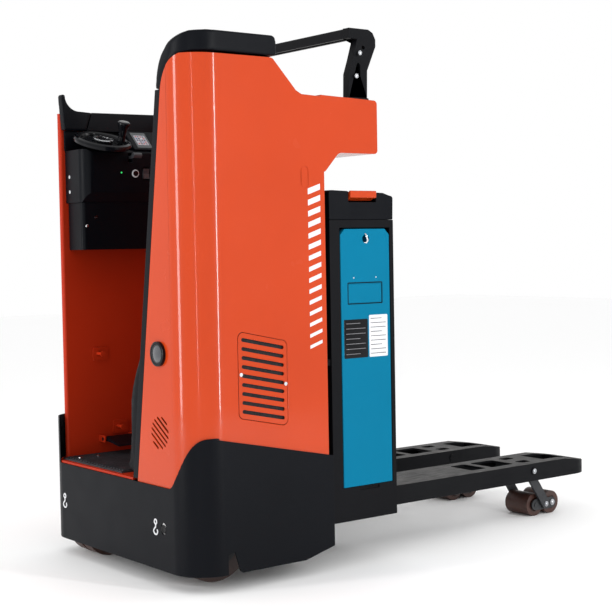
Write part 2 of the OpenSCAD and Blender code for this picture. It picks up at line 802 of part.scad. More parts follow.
module caster_fork() color("#3c3f45") from_rear() {
    top = base_z - 12 - gap;
    leg_x = caster_x - caster_trail;
    difference() {
        union() {
            translate([caster_x, caster_y, top - 20]) cylinder(r = 42, h = 20);
            // leg between the wheels
            across(caster_y - caster_leg_t / 2, caster_y + caster_leg_t / 2) {
                polygon([[caster_x - 36, top - 10], [caster_x + 36, top - 10], [leg_x + 22, caster_r - 10],
                         [leg_x - 22, caster_r - 10]]);
                translate([leg_x, caster_r]) circle(22);
            }
        }
        translate([caster_x, caster_y, top - 21]) cylinder(r = kingpin_r + run_fit, h = 23);
    }
    // axle
    pin_y(leg_x, caster_r, caster_pin_r, caster_y - caster_w - 14, caster_y + caster_w + 14);
}

// One caster wheel between y0 and y1
module caster_wheel(y0) color("#6b2f1c") from_rear()
    translate([caster_x - caster_trail, y0 + caster_w, caster_r]) rotate([90, 0, 0]) difference() {
        cylinder(r = caster_r, h = caster_w, $fn = 72);
        translate([0, 0, -1]) cylinder(r = caster_pin_r + run_fit, h = caster_w + 2);
        // dished faces
        translate([0, 0, -1]) difference() {
            cylinder(r = 52, h = 7);
            translate([0, 0, -1]) cylinder(r = 20, h = 9);
        }
        translate([0, 0, caster_w - 6]) difference() {
            cylinder(r = 52, h = 7);
            translate([0, 0, -1]) cylinder(r = 20, h = 9);
        }
    }

module caster_wheel_inner() caster_wheel(caster_y - caster_leg_t / 2 - 2 - caster_w);
module caster_wheel_outer() caster_wheel(caster_y + caster_leg_t / 2 + 2);

// ---------- drive unit ----------

module drive_bearing() color("#8d9197") from_rear() translate([drive_x, drive_y, turret_z]) difference() {
    cylinder(r = 90, h = 14, $fn = 72);
    translate([0, 0, -1]) cylinder(r = neck_r + run_fit, h = 16, $fn = 72);
}

// Side plane of the gearbox, next to the drive wheel
box_y0 = drive_y + drive_w / 2 + 5;
box_y1 = drive_y + 98;
module drive_gearbox() color("#44474d") from_rear() {
    bridge_z = 2 * drive_r + 4;
    // neck through the bearing, and the flange that hangs on it
    translate([drive_x, drive_y, bridge_z]) cylinder(r = neck_r, h = turret_z + 15 - bridge_z, $fn = 72);
    translate([drive_x, drive_y, turret_z + 14.5]) cylinder(r = 84, h = 12);
    // bridge over the wheel and the side case
    block([drive_x - 44, drive_y - 40, bridge_z], [drive_x + 44, box_y1, bridge_z + 22]);
    difference() {
        union() {
            block([drive_x - 44, box_y0, drive_r], [drive_x + 44, box_y1, bridge_z + 22]);
            pin_y(drive_x, drive_r, 58, box_y0, box_y1);
        }
        pin_y(drive_x, drive_r, 20 + run_fit, box_y0 - 1, box_y0 + 36);
    }
}

module drive_motor() color("#2e3136") from_rear() {
    z0 = turret_z + 26.5;
    translate([drive_x, drive_y, z0]) cylinder(r = 74, h = 190, $fn = 64);
    // cooling fins
    for (i = [0 : 7])
        translate([drive_x, drive_y, z0 + 24 + 18 * i]) cylinder(r = 78, h = 6, $fn = 64);
    translate([drive_x, drive_y, z0 + 190]) cylinder(r = 58, h = 34);
}

module drive_hub() color("#7b7e84") from_rear() {
    difference() {
        pin_y(drive_x, drive_r, 78, drive_y - drive_w / 2, drive_y + drive_w / 2);
        pin_y(drive_x, drive_r, 58, drive_y - drive_w / 2 - 1, drive_y - drive_w / 2 + 14);
        for (a = [0 : 60 : 300])
            pin_y(drive_x + 45 * cos(a), drive_r + 45 * sin(a), 8, drive_y - 60, drive_y + 60);
    }
    pin_y(drive_x, drive_r, 20, drive_y + drive_w / 2, box_y0 + 30);
}

module drive_tyre() color("#5f2a1a") from_rear() difference() {
    pin_y(drive_x, drive_r, drive_r, drive_y - drive_w / 2, drive_y + drive_w / 2);
    pin_y(drive_x, drive_r, 78, drive_y - drive_w / 2 - 1, drive_y + drive_w / 2 + 1);
}

// ---------- inside the tower ----------

module hydraulic_unit() color("#4a4d53") from_rear() {
    x = bulk_x - 123;
    y = -side_y + 105;
    block([x - 18, y - 65, base_top], [x + 39, y + 65, base_top + 150]);
    translate([x, y, base_top + 150]) cylinder(r = 38, h = 130);
    translate([x, y, base_top + 280]) cylinder(r = 30, h = 12);
}

module motor_controller() color("#9a9da3") from_rear() {
    x1 = bulk_x;
    block([x1 - 16, -side_y + 40, 760], [x1, -side_y + 160, 980]);
    // cooling ribs
    for (y = [-side_y + 46 : 18 : -side_y + 150])
        block([x1 - 40, y, 770], [x1 - 16, y + 6, 970]);
}

lift_barrel_top = base_top + 210;
module lift_cylinder() color("#3a3d42") from_rear() translate([lift_x, lift_y, base_top]) difference() {
    union() {
        cylinder(r = 30, h = 210);
        cylinder(r = 31, h = 8);
    }
    translate([0, 0, 12]) cylinder(r = 15 + run_fit, h = 210);
}

module lift_rod() color("#c9ccd1") from_rear()
    translate([lift_x, lift_y, lift_barrel_top - 94]) cylinder(r = 15, h = 214);

// ---------- load frame, battery and forks ----------

module load_frame() color("#15171b") from_rear() {
    wall = 6;
    z0 = fork_bottom;
    difference() {
        block([load_x0, -load_y, z0], [load_x1, load_y, lid_z]);
        // battery pocket, open on the near side and under the lid
        block([pocket_x0, -load_y - 1, pocket_z0], [pocket_x1, load_y - 10, pocket_z1]);
        block([pocket_x0 + 14, -load_y + 14, pocket_z1 - 1], [pocket_x1 - 14, load_y - 24, lid_z + 1]);
        // sealed hollow in the rear post, and a hollow base that opens downwards
        block([load_x0 + wall, -load_y + wall, z0 + wall], [pocket_x0 - wall, load_y - wall, lid_z - 12]);
        block([pocket_x0, -load_y + wall, z0 - 1], [load_x1 - wall, load_y - wall, pocket_z0 - 14]);
        // passages of the push rods into the forks
        for (s = [-1, 1]) pin_x(s * fork_y, rod_z, rod_r + 4, load_x1 - wall - 1, load_x1 + 1);
        // light slot below the battery
        block([pocket_x0 + 60, -load_y - 1, pocket_z0 - 11], [pocket_x0 + 130, -load_y + 4, pocket_z0 - 4]);
    }
    // guide shoes on both sides of each rail
    for (s = [-1, 1], t = [-1, 1], z = [200, 700]) {
        ya = s * guide_y + t * (guide_w / 2 + gap + 12);
        block([bulk_x + bulk_t + 2, ya - 12, z], [load_x0, ya + 12, z + 120]);
    }
    // bracket that the lift rod pushes up
    block([lift_x - 26, lift_y - 26, lift_barrel_top + 120], [load_x0, lift_y + 26, lift_barrel_top + 138]);
}

module battery_lid() color("#1a1c21") from_rear() {
    r = 10;
    difference() {
        across(-load_y, load_y) polygon(concat(
            [[load_x0, lid_z + gap]],
            arc([load_x0 + r, lid_top - r], r, 180, 90, 6),
            [[load_x1 - 34, lid_top - 6]],
            arc([load_x1 - r, lid_top - 14 - r], r, 90, 0, 6),
            [[load_x1, lid_z + gap]]));
        block([load_x0 + 8, -load_y + 8, lid_z], [load_x1 - 8, load_y - 8, lid_top - 22]);
        // seat of the latch
        block([latch_x0, -load_y - 1, lid_top - 32], [latch_x0 + latch_w, -load_y + 30, lid_top + 1]);
    }
}

latch_x0 = pocket_x0 + 34;
latch_w = 100;
latch_gap = 1.5;
module battery_latch() color("#e8602f") from_rear() {
    x0 = latch_x0 + latch_gap;
    x1 = latch_x0 + latch_w - latch_gap;
    pin_axis_y = -load_y + 22;
    pin_x(pin_axis_y, lid_top - 22, 6, x0, x1);
    along(x0 + 1, x1 - 1) polygon(
        [[-load_y - 5, lid_top - 20], [-load_y - 5, lid_top - 3], [-load_y - 2, lid_top],
         [pin_axis_y + 2, lid_top - 17.5], [pin_axis_y, lid_top - 26]]);
}

battery_fit = 1.5;
case_x0 = pocket_x0 + battery_fit;
case_x1 = pocket_x1 - battery_fit;
case_z0 = pocket_z0 + 0.4;
case_z1 = pocket_z1 - 3;
flap_z0 = case_z1 - 208;
flap_h = 57;
flap_x0 = case_x0 + 26;
flap_w = 122;
module battery_case() color("#16809f") from_rear() difference() {
    across(-load_y, load_y - 14) polygon(
        [[case_x0, case_z0], [case_x1, case_z0], [case_x1, case_z1 - 16], [case_x1 - 16, case_z1],
         [case_x0 + 16, case_z1], [case_x0, case_z1 - 16]]);
    // recess of the charging flap and its socket
    block([flap_x0, -load_y - 1, flap_z0], [flap_x0 + flap_w, -load_y + 7, flap_z0 + flap_h]);
    pin_y(flap_x0 + flap_w / 2, flap_z0 + flap_h / 2, 20, -load_y, -load_y + 30);
    // lifting eye
    pin_y(eye_x, eye_z, 12, -load_y - 1, -load_y + 24);
}

eye_x = (case_x0 + case_x1) / 2 + 2;
eye_z = case_z1 - 28;

module charging_flap() color("#1a84a4") from_rear() {
    t = 5;
    top = flap_z0 + flap_h - 1;
    block([flap_x0 + 1, -load_y + 0.6, flap_z0 + 1], [flap_x0 + flap_w - 1, -load_y + t, top]);
    // hinge bead along the top edge
    pin_x(-load_y + 0.6, top - 1, 1.2, flap_x0 + 0.5, flap_x0 + flap_w - 0.5);
}

// Plan of a fork, narrowing to its rounded tip, shrunk by t
module fork_plan(t) {
    half = fork_w / 2 - t;
    tip = truck_l - t;
    polygon(concat([[load_x1, -half], [truck_l - 66, -half]],
                   arc([truck_l - 66, -half + 66 - t], 66 - t, -90, -18, 10),
                   [[tip, -20], [tip, 20]],
                   arc([truck_l - 66, half - 66 + t], 66 - t, 18, 90, 10),
                   [[load_x1, half]]));
}

// Side of a fork: the tip slopes down and its underside slopes up
module fork_profile() {
    polygon(concat([[load_x1, fork_bottom], [truck_l - 50, fork_bottom]],
                   arc([truck_l - 22, fork_bottom + 22], 22, -90, 0, 8),
                   arc([truck_l - 12, fork_z - 28], 12, 0, 80, 6),
                   [[truck_l - 120, fork_z], [load_x1, fork_z]]));
}

// One fork around y, with its windows and the pin of the load arm
module fork(y) {
    cavity = fork_w / 2 - fork_t;
    translate([0, y, 0]) {
        difference() {
            intersection() {
                translate([0, 0, fork_bottom - 1]) linear_extrude(fork_h + 2) fork_plan(0);
                across(-fork_w, fork_w) fork_profile();
            }
            block([load_x1 + 12, -cavity, fork_bottom - 1], [truck_l - 46, cavity, fork_z - fork_t]);
            pin_x(0, rod_z, rod_r + 4, load_x1 - 1, load_x1 + 13);
            fork_windows();
        }
        pin_y(pivot_x, pivot_z, pin_r, -cavity - 1, cavity + 1);
        // pin heads on the outside of the fork
        for (s = [-1, 1]) pin_y(pivot_x, pivot_z, 13, s * (fork_w / 2 + 1) - 1.5, s * (fork_w / 2 + 1) + 1.5);
    }
}

module fork_windows() {
    translate([0, 0, fork_z - fork_t - 1]) linear_extrude(fork_t + 2) {
        round_rect([truck_l - 512, -51], [truck_l - 447, 51], 9);
        round_rect([truck_l - 422, -52], [truck_l - 325, 52], 9);
        for (s = [-1, 1]) round_rect([truck_l - 290, s * 37 - 17], [truck_l - 246, s * 37 + 17], 8);
        polygon([[truck_l - 185, -51], [truck_l - 96, -51], [truck_l - 50, -18], [truck_l - 50, 18],
                 [truck_l - 96, 51], [truck_l - 185, 51]]);
    }
}

module fork_near() color("#26282c") from_rear() fork(-fork_y);
module fork_far() color("#26282c") from_rear() fork(fork_y);

// Push rod inside a fork, with a slotted eye around the pin of the arm's lever
module push_rod(y) translate([0, y, 0]) {
    eye = [pivot_x + lever_dx, pivot_z + lever_dz - 2];
    pin_x(0, rod_z, rod_r, pocket_x0 + 12, eye[0] - 24);
    across(-5, 5) difference() {
        union() {
            translate([eye[0] - 34, rod_z - 9]) square([14, 18]);
            translate([eye[0] - 34, eye[1] - 15]) square([48, 28]);
        }
        translate([eye[0] - 8.5, eye[1] - 10]) square([17, 21]);
    }
}

module push_rod_near() color("#6f7278") from_rear() push_rod(-fork_y);
module push_rod_far() color("#6f7278") from_rear() push_rod(fork_y);

// Load arm: two side plates, a cross tube around the pivot, and the lever pin
module load_arm(y) translate([0, y, 0]) {
    p = [pivot_x, pivot_z];
    q = [bogie_x, roller_r];
    l = p + [lever_dx, lever_dz];
    difference() {
        union() {
            for (s = [-1, 1]) across(s > 0 ? arm_y : -arm_y - arm_t, s > 0 ? arm_y + arm_t : -arm_y) {
                link2d(p, q, 16);
            }
            for (s = [-1, 1]) across(s > 0 ? 10 : -18, s > 0 ? 18 : -10) link2d(p, l, 12);
            pin_y(p[0], p[1], 17, -arm_y - 1, arm_y + 1);
        }
        pin_y(p[0], p[1], pin_r + run_fit, -arm_y - arm_t - 1, arm_y + arm_t + 1);
        // the middle of the tube is open for the rod's eye
        block([p[0] - 30, -rod_gap, p[1] - 30], [p[0] + 30, rod_gap, p[1] + 30]);
    }
    pin_y(l[0], l[1], 6, -11, 11);
    // stub pins that carry the bogie
    for (s = [-1, 1]) pin_y(q[0], q[1], stub_r, s > 0 ? bogie_y : -arm_y - 1, s > 0 ? arm_y + 1 : -bogie_y);
}

module arm_near() color("#2a2c30") from_rear() load_arm(-fork_y);
module arm_far() color("#2a2c30") from_rear() load_arm(fork_y);

// Bogie plates with the two roller axles
module bogie(y) translate([0, y, 0]) {
    a = [bogie_x - roller_pitch / 2, roller_r];
    b = [bogie_x + roller_pitch / 2, roller_r];
    for (s = [-1, 1]) across(s > 0 ? bogie_y : -bogie_y - bogie_t, s > 0 ? bogie_y + bogie_t : -bogie_y)
        difference() {
            link2d(a, b, 18);
            translate([bogie_x, roller_r]) circle(stub_r + run_fit);
        }
    for (p = [a, b]) pin_y(p[0], p[1], stub_r, -bogie_y - bogie_t - 2, bogie_y + bogie_t + 2);
}

module bogie_near() color("#33363b") from_rear() bogie(-fork_y);
module bogie_far() color("#33363b") from_rear() bogie(fork_y);

// One load roller on its axle
module roller(y, s) color("#6b2f1c") from_rear() difference() {
    pin_y(bogie_x + s * roller_pitch / 2, roller_r, roller_r, y - roller_w / 2, y + roller_w / 2);
    pin_y(bogie_x + s * roller_pitch / 2, roller_r, stub_r + run_fit, y - roller_w, y + roller_w);
    for (e = [-1, 1])
        pin_y(bogie_x + s * roller_pitch / 2, roller_r, 22,
              y + e * roller_w / 2 - 4, y + e * roller_w / 2 + 4);
}

module roller_near_rear() roller(-fork_y, -1);
module roller_near_front() roller(-fork_y, 1);
module roller_far_rear() roller(fork_y, -1);
module roller_far_front() roller(fork_y, 1);

chassis_frame();
skirt();
floor_plate();
floor_mat();
far_wall();
front_wall();
front_hood();
tower_cover();
tower_cap();
backrest_shell();
backrest_pad();
leg_pad();
vent_panel();
rear_lamp();
guard_rail();
grab_horn();
console_housing();
console_base();
display_housing();
display_screen();
steering_shaft();
steering_wheel();
spinner_knob();
start_button();
rocker_switch();
lift_lever();
wall_brackets();
deadman_pedal();
accessory_frame();
cover_screws();
caster_plate();
caster_fork();
caster_wheel_inner();
caster_wheel_outer();
drive_bearing();
drive_gearbox();
drive_motor();
drive_hub();
drive_tyre();
hydraulic_unit();
motor_controller();
lift_cylinder();
lift_rod();
load_frame();
battery_lid();
battery_case();
battery_latch();
charging_flap();
fork_near();
fork_far();
push_rod_near();
push_rod_far();
arm_near();
arm_far();
bogie_near();
bogie_far();
roller_near_rear();
roller_near_front();
roller_far_rear();
roller_far_front();
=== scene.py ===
# %% [markdown]
# # A stand-on electric pallet truck
# The truck is already drawn as a working model: every plate, wheel and cover sits at its real
# place. This lesson dresses that model. Each cell takes one piece or one finish, says what it is
# on the real truck, and makes it in a way that suits it.

# %% Load the truck
import bpy
import bmesh
import json
import math
from mathutils import Matrix, Vector


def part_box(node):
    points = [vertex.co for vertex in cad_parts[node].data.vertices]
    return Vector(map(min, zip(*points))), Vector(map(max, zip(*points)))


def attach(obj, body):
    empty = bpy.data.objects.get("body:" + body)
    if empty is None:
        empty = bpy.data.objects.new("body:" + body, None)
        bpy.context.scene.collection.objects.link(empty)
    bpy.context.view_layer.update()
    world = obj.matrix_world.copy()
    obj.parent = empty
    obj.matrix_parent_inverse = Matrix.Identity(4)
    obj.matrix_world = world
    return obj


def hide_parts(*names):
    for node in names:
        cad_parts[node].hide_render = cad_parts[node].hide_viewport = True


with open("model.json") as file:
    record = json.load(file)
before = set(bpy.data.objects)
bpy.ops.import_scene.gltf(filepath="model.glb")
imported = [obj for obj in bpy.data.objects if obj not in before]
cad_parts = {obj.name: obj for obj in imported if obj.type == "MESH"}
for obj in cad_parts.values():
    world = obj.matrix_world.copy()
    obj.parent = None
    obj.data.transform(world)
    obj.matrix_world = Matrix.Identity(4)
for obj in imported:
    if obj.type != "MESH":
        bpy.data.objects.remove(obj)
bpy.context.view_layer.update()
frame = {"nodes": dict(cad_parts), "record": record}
nodes = frame["nodes"]
MM = 0.001

# %% [markdown]
# ## Camera, floor and light
# The truck stands on a pale studio floor. The camera is a long lens at chest height, turned a
# little over 50 degrees from the truck's long axis, so the tower, the open step and the forks all
# show. It could be aimed with a Track To constraint at an empty. A heading, a tilt and a roll are
# used here, because those are the three things that are set on a tripod head.

# %% Camera
LENS = 79.8
CAMERA_AT = Vector((-2.6815, -3.281, 0.896))
HEADING = math.radians(52.34)
DOWN_TILT = math.radians(2.52)
ROLL = math.radians(-1.015)


def aim_camera():
    forward = Vector((math.cos(HEADING) * math.cos(DOWN_TILT),
                      math.sin(HEADING) * math.cos(DOWN_TILT), -math.sin(DOWN_TILT)))
    level = Vector((math.sin(HEADING), -math.cos(HEADING), 0))
    upright = level.cross(forward)
    right = math.cos(ROLL) * level + math.sin(ROLL) * upright
    up = -math.sin(ROLL) * level + math.cos(ROLL) * upright
    cam = bpy.data.objects.new("camera", bpy.data.cameras.new("camera"))
    cam.data.lens = LENS
    cam.data.sensor_width = 36
    turn = Matrix((right, up, -forward)).transposed().to_4x4()
    cam.matrix_world = Matrix.Translation(CAMERA_AT) @ turn
    bpy.context.scene.collection.objects.link(cam)
    bpy.context.scene.camera = cam


aim_camera()
print("camera at", tuple(round(c, 2) for c in CAMERA_AT))

# %% [markdown]
# Upright soft boxes are what make a glossy cover look round: each one shows as a bright stripe
# down the tower's rounded corner. A smaller box high in front of the forks picks out their edges.
# White light from all round fills the shadows and makes the studio as pale as its floor. An
# environment picture could do all of this, but single lamps can be moved one at a time.

# %% Floor and lights
scene = bpy.context.scene
TOWER_MIDDLE = Vector((-0.3, 0, 0.75))


def soft_box(name, direction, distance, size, power, height):
    """An area light at a compass direction from the tower, turned to face it."""
    data = bpy.data.lights.new(name, "AREA")
    data.shape = "RECTANGLE"
    data.size, data.size_y = size
    data.energy = power
    lamp = bpy.data.objects.new(name, data)
    way = Vector((*direction, 0)).normalized()
    lamp.location = way * distance + Vector((TOWER_MIDDLE.x, TOWER_MIDDLE.y, height))
    aim = TOWER_MIDDLE - lamp.location
    lamp.rotation_euler = aim.to_track_quat("-Z", "Y").to_euler()
    scene.collection.objects.link(lamp)
    return lamp


def studio_world(strength):
    world = bpy.data.worlds.new("studio")
    world.use_nodes = True
    back = world.node_tree.nodes["Background"]
    back.inputs["Color"].default_value = (1.0, 1.0, 1.0, 1)
    back.inputs["Strength"].default_value = strength
    scene.world = world


soft_box("strip_left", (-0.99, 0.16), 3.8, (0.5, 2.8), 62, 1.4)
soft_box("strip_fine", (-0.741, -0.672), 5.6, (0.05, 2.8), 14, 1.4)
soft_box("strip_corner", (0.24, -0.97), 3.8, (0.2, 2.8), 62, 1.4)
soft_box("fill_forks", (1.0, -0.6), 4.4, (1.2, 1.0), 16, 2.6)
studio_world(1.0)
scene.view_settings.view_transform = "Standard"


def stage_floor():
    mesh = bpy.data.meshes.new("studio_floor")
    reach = 14.0
    corners = [(-reach, -reach, 0), (reach, -reach, 0), (reach, reach, 0), (-reach, reach, 0)]
    mesh.from_pydata(corners, [], [(0, 1, 2, 3)])
    floor = bpy.data.objects.new("studio_floor", mesh)
    scene.collection.objects.link(floor)
    mat = bpy.data.materials.new("studio_floor")
    mat.use_nodes = True
    shader = mat.node_tree.nodes["Principled BSDF"]
    shader.inputs["Base Color"].default_value = (0.97, 0.97, 0.97, 1)
    shader.inputs["Roughness"].default_value = 0.75
    mesh.materials.append(mat)


stage_floor()

# %% [markdown]
# ## Finishes
# Every finish is built the same way: a base colour that drifts a little, a roughness that drifts
# with it, and a fine bump. The pattern is read in each piece's own space, so it stays put when a
# piece moves. Two noise sizes do most of the work: a wide one for handling marks and a fine one
# for grain. Painted textures could do the same, but they need every mesh unwrapped first.

# %% A helper for finishes
class Finish:
    """A material under construction, with short ways to add and join its nodes."""

    def __init__(self, name):
        self.mat = bpy.data.materials.new(name)
        self.mat.use_nodes = True
        self.nodes = self.mat.node_tree.nodes
        self.links = self.mat.node_tree.links
        self.shader = self.nodes["Principled BSDF"]
        self.space = self.nodes.new("ShaderNodeTexCoord").outputs["Object"]

    def set(self, **values):
        for key, value in values.items():
            self.shader.inputs[key.replace("_", " ")].default_value = value
        return self

    def noise(self, scale, detail=3.0, stretch=None):
        node = self.nodes.new("ShaderNodeTexNoise")
        node.inputs["Scale"].default_value = scale
        node.inputs["Detail"].default_value = detail
        source = self.space
        if stretch:
            mapping = self.nodes.new("ShaderNodeMapping")
            mapping.inputs["Scale"].default_value = stretch
            self.links.new(source, mapping.inputs["Vector"])
            source = mapping.outputs["Vector"]
        self.links.new(source, node.inputs["Vector"])
        return node.outputs["Fac"]

    def ramp(self, source, stops):
        node = self.nodes.new("ShaderNodeValToRGB")
        steps = node.color_ramp.elements
        while len(steps) < len(stops):
            steps.new(0.5)
        for step, (place, colour) in zip(steps, stops):
            step.position = place
            step.color = (*colour, 1) if len(colour) == 3 else colour
        self.links.new(source, node.inputs["Fac"])
        return node.outputs["Color"]

    def spread(self, source, low, high, start=0.3, end=0.7):
        node = self.nodes.new("ShaderNodeMapRange")
        for key, value in (("From Min", start), ("From Max", end),
                           ("To Min", low), ("To Max", high)):
            node.inputs[key].default_value = value
        self.links.new(source, node.inputs["Value"])
        return node.outputs["Result"]

    def mix(self, factor, a, b):
        node = self.nodes.new("ShaderNodeMix")
        node.data_type = "RGBA"
        self.links.new(factor, node.inputs["Factor"])
        for socket, value in (("A", a), ("B", b)):
            target = [s for s in node.inputs if s.name == socket and s.type == "RGBA"][0]
            if isinstance(value, tuple):
                target.default_value = (*value, 1)
            else:
                self.links.new(value, target)
        return [s for s in node.outputs if s.type == "RGBA"][0]

    def bump(self, height, depth, strength=0.4):
        node = self.nodes.new("ShaderNodeBump")
        node.inputs["Distance"].default_value = depth
        node.inputs["Strength"].default_value = strength
        self.links.new(height, node.inputs["Height"])
        self.links.new(node.outputs["Normal"], self.shader.inputs["Normal"])

    def join(self, output, socket):
        self.links.new(output, self.shader.inputs[socket])
        return self


def plain_finish(name, colour, shade, rough, grain, depth, drift=2.2, **shader):
    """A finish with drifting colour and roughness and one fine bump."""
    f = Finish(name).set(**shader)
    wide = f.noise(drift, 4.0)
    f.join(f.ramp(wide, [(0.35, shade), (0.65, colour)]), "Base Color")
    f.join(f.spread(f.noise(drift * 6, 5.0), rough[0], rough[1]), "Roughness")
    f.bump(f.noise(grain, 2.0), depth)
    return f.mat


print("finish helper ready")

# %% [markdown]
# ### Orange covers
# The covers are sprayed a warm orange and polished. Sprayed paint is never flat: it has a faint
# orange-peel ripple, which breaks the edge of every reflection. A clear coat gives the hard
# sparkle. The hood was sprayed thicker and ripples more. The wall beside the driver is duller, and
# its orange is painted darker and redder as painted shade for the shadowed compartment.
# One plain glossy shader would do from far away. The coat and the ripple are worth their nodes,
# because the tower's corner is a single long highlight that shows every flaw.

# %% Orange paint
orange = plain_finish("orange_paint", (0.49, 0.045, 0.0055), (0.45, 0.040, 0.0045),
                      (0.18, 0.28), 260, 0.0004, Coat_Weight=0.45, Coat_Roughness=0.05,
                      Specular_IOR_Level=0.06)
orange_hood = plain_finish("orange_hood_paint", (0.6, 0.062, 0.012), (0.54, 0.052, 0.008),
                           (0.14, 0.24), 70, 0.0022, Coat_Weight=0.35, Coat_Roughness=0.06,
                           Specular_IOR_Level=0.15)
# Darker, redder base: painted shade for the walls inside the shadowed operator compartment.
orange_shaded_wall = plain_finish("orange_shaded_wall_paint", (0.42, 0.026, 0.006), (0.38, 0.022, 0.005),
                           (0.34, 0.46), 320, 0.0004, Specular_IOR_Level=0.12)

# %% [markdown]
# ### Black parts
# Moulded covers have a fine leather-like grain. The steel frame is powder coated, with a tiny
# orange peel; the dust in its corners is not drawn. The forks are scraped by pallets: the paint on
# top is rubbed through to bare grey-brown steel. That wear could be painted by hand. Here it
# follows the way a face looks, so only the faces that look up are rubbed, however long the fork is.

# %% Black plastics and steel
black_cover = plain_finish("black_moulding", (0.0036, 0.0042, 0.0062), (0.0028, 0.0034, 0.0050),
                           (0.3, 0.4), 1400, 0.0004, Specular_IOR_Level=0.07)
black_gloss = plain_finish("black_gloss", (0.0040, 0.0043, 0.0058), (0.0030, 0.0033, 0.0045),
                           (0.14, 0.22), 300, 0.0002, Specular_IOR_Level=0.16)
black_steel = plain_finish("black_powder_coat", (0.0040, 0.0042, 0.0056), (0.0030, 0.0032, 0.0042),
                           (0.36, 0.5), 700, 0.0006, Specular_IOR_Level=0.07)


def worn_fork_paint():
    f = Finish("worn_fork_paint").set(Specular_IOR_Level=0.08)
    facing = f.nodes.new("ShaderNodeNewGeometry").outputs["Normal"]
    split = f.nodes.new("ShaderNodeSeparateXYZ")
    f.links.new(facing, split.inputs["Vector"])
    upward = f.spread(split.outputs["Z"], 0.0, 1.0, 0.7, 0.95)
    scrape = f.spread(f.noise(26, 6.0, (0.35, 2.2, 1.0)), 0.35, 1.0, 0.36, 0.6)
    worn = f.nodes.new("ShaderNodeMath")
    worn.operation = "MULTIPLY"
    f.links.new(upward, worn.inputs[0])
    f.links.new(scrape, worn.inputs[1])
    paint = f.ramp(f.noise(5, 4.0),
                   [(0.3, (0.003, 0.0032, 0.0042)), (0.7, (0.005, 0.0053, 0.0064))])
    steel = f.ramp(f.noise(9, 5.0),
                   [(0.3, (0.014, 0.013, 0.0125)), (0.7, (0.045, 0.041, 0.039))])
    f.join(f.mix(worn.outputs[0], paint, steel), "Base Color")
    f.join(f.spread(f.noise(60, 4.0, (0.3, 2.0, 1.0)), 0.34, 0.56), "Roughness")
    f.bump(f.noise(180, 3.0, (0.3, 2.0, 1.0)), 0.0006)
    return f.mat


fork_paint = worn_fork_paint()
print("orange and black finishes:", sorted(m.name for m in bpy.data.materials))

# %% [markdown]
# ### Metals, rubber and the battery
# Small metal parts are turned, cast or plated. The wheels are brown polyurethane on iron centres.
# The battery box is satin teal. All of them come from one helper with other numbers: a Metallic
# value tells a metal from a paint, and the roughness says how it was finished.

# %% Metals, treads and paint
grey_steel = plain_finish("machined_steel", (0.5, 0.51, 0.53), (0.38, 0.39, 0.41), (0.25, 0.42),
                          900, 0.0003, 20, Metallic=1.0)
bright_steel = plain_finish("plated_steel", (0.78, 0.79, 0.8), (0.66, 0.67, 0.69), (0.12, 0.24),
                            500, 0.0002, 30, Metallic=1.0)
cast_iron = plain_finish("painted_casting", (0.026, 0.028, 0.031), (0.014, 0.015, 0.018),
                         (0.45, 0.65), 420, 0.0012, 12, Metallic=0.2)
aluminium = plain_finish("cast_aluminium", (0.6, 0.61, 0.63), (0.48, 0.49, 0.5), (0.35, 0.5),
                         500, 0.0006, 14, Metallic=1.0)
tread = plain_finish("brown_tread", (0.050, 0.013, 0.006), (0.026, 0.0075, 0.0045), (0.34, 0.55),
                     240, 0.0008, 14)
teal = plain_finish("teal_paint", (0.001, 0.152, 0.272), (0.001, 0.14, 0.25), (0.34, 0.46), 420,
                    0.0004, Specular_IOR_Level=0.04)
mat_rubber = plain_finish("mat_rubber", (0.030, 0.031, 0.036), (0.018, 0.019, 0.023), (0.6, 0.8),
                          700, 0.0010, 18, Specular_IOR_Level=0.3)
pad_skin = plain_finish("pad_skin", (0.0050, 0.0054, 0.0070), (0.0036, 0.0040, 0.0052),
                        (0.42, 0.58), 950, 0.0010, 8, Specular_IOR_Level=0.1)
switch_grey = plain_finish("switch_plastic", (0.035, 0.037, 0.042), (0.026, 0.028, 0.032),
                           (0.35, 0.5), 900, 0.0004, 30)
white_print = plain_finish("pale_print", (0.66, 0.67, 0.69), (0.6, 0.61, 0.63), (0.35, 0.5),
                           800, 0.0001, 40)
# Nearly black: painted shade for the shadowed ducts, horn and tow hole behind the tower's openings.
painted_shade_black = plain_finish("painted_shade_black", (0.006, 0.006, 0.007), (0.003, 0.003, 0.004), (0.7, 0.9),
                         800, 0.0012, 30)
screen_glass = plain_finish("screen_glass", (0.02, 0.028, 0.034), (0.012, 0.016, 0.02),
                            (0.06, 0.12), 60, 0.0001, 30, Coat_Weight=0.4)
print("finishes so far:", len(bpy.data.materials))

# %% [markdown]
# ### Each part gets its finish
# The model names a finish for each of its parts. Materials could be handed out piece by piece,
# but one table from names to materials keeps all parts of one finish alike.

# %% Give each model part its finish
FINISH_OF_SLOT = {
    "orange": orange_shaded_wall, "orange_cover": orange, "black_cover": black_cover,
    "black_gloss": black_gloss, "black_steel": black_steel, "fork_steel": fork_paint,
    "grey_steel": grey_steel, "bright_steel": bright_steel, "cast": cast_iron, "pad": pad_skin,
    "mat": mat_rubber, "tread": tread, "teal": teal, "screen": screen_glass,
    "switch": switch_grey, "aluminium": aluminium,
}
slot_of_node = {s["node"]: s["material_slot"] for s in frame["record"]["subparts"]}


def dress(obj, material):
    obj.data.materials.clear()
    obj.data.materials.append(material)


for node_name, node_obj in nodes.items():
    dress(node_obj, FINISH_OF_SLOT[slot_of_node[node_name]])
dress(nodes["front_hood"], orange_hood)
print("dressed", len(nodes), "nodes")

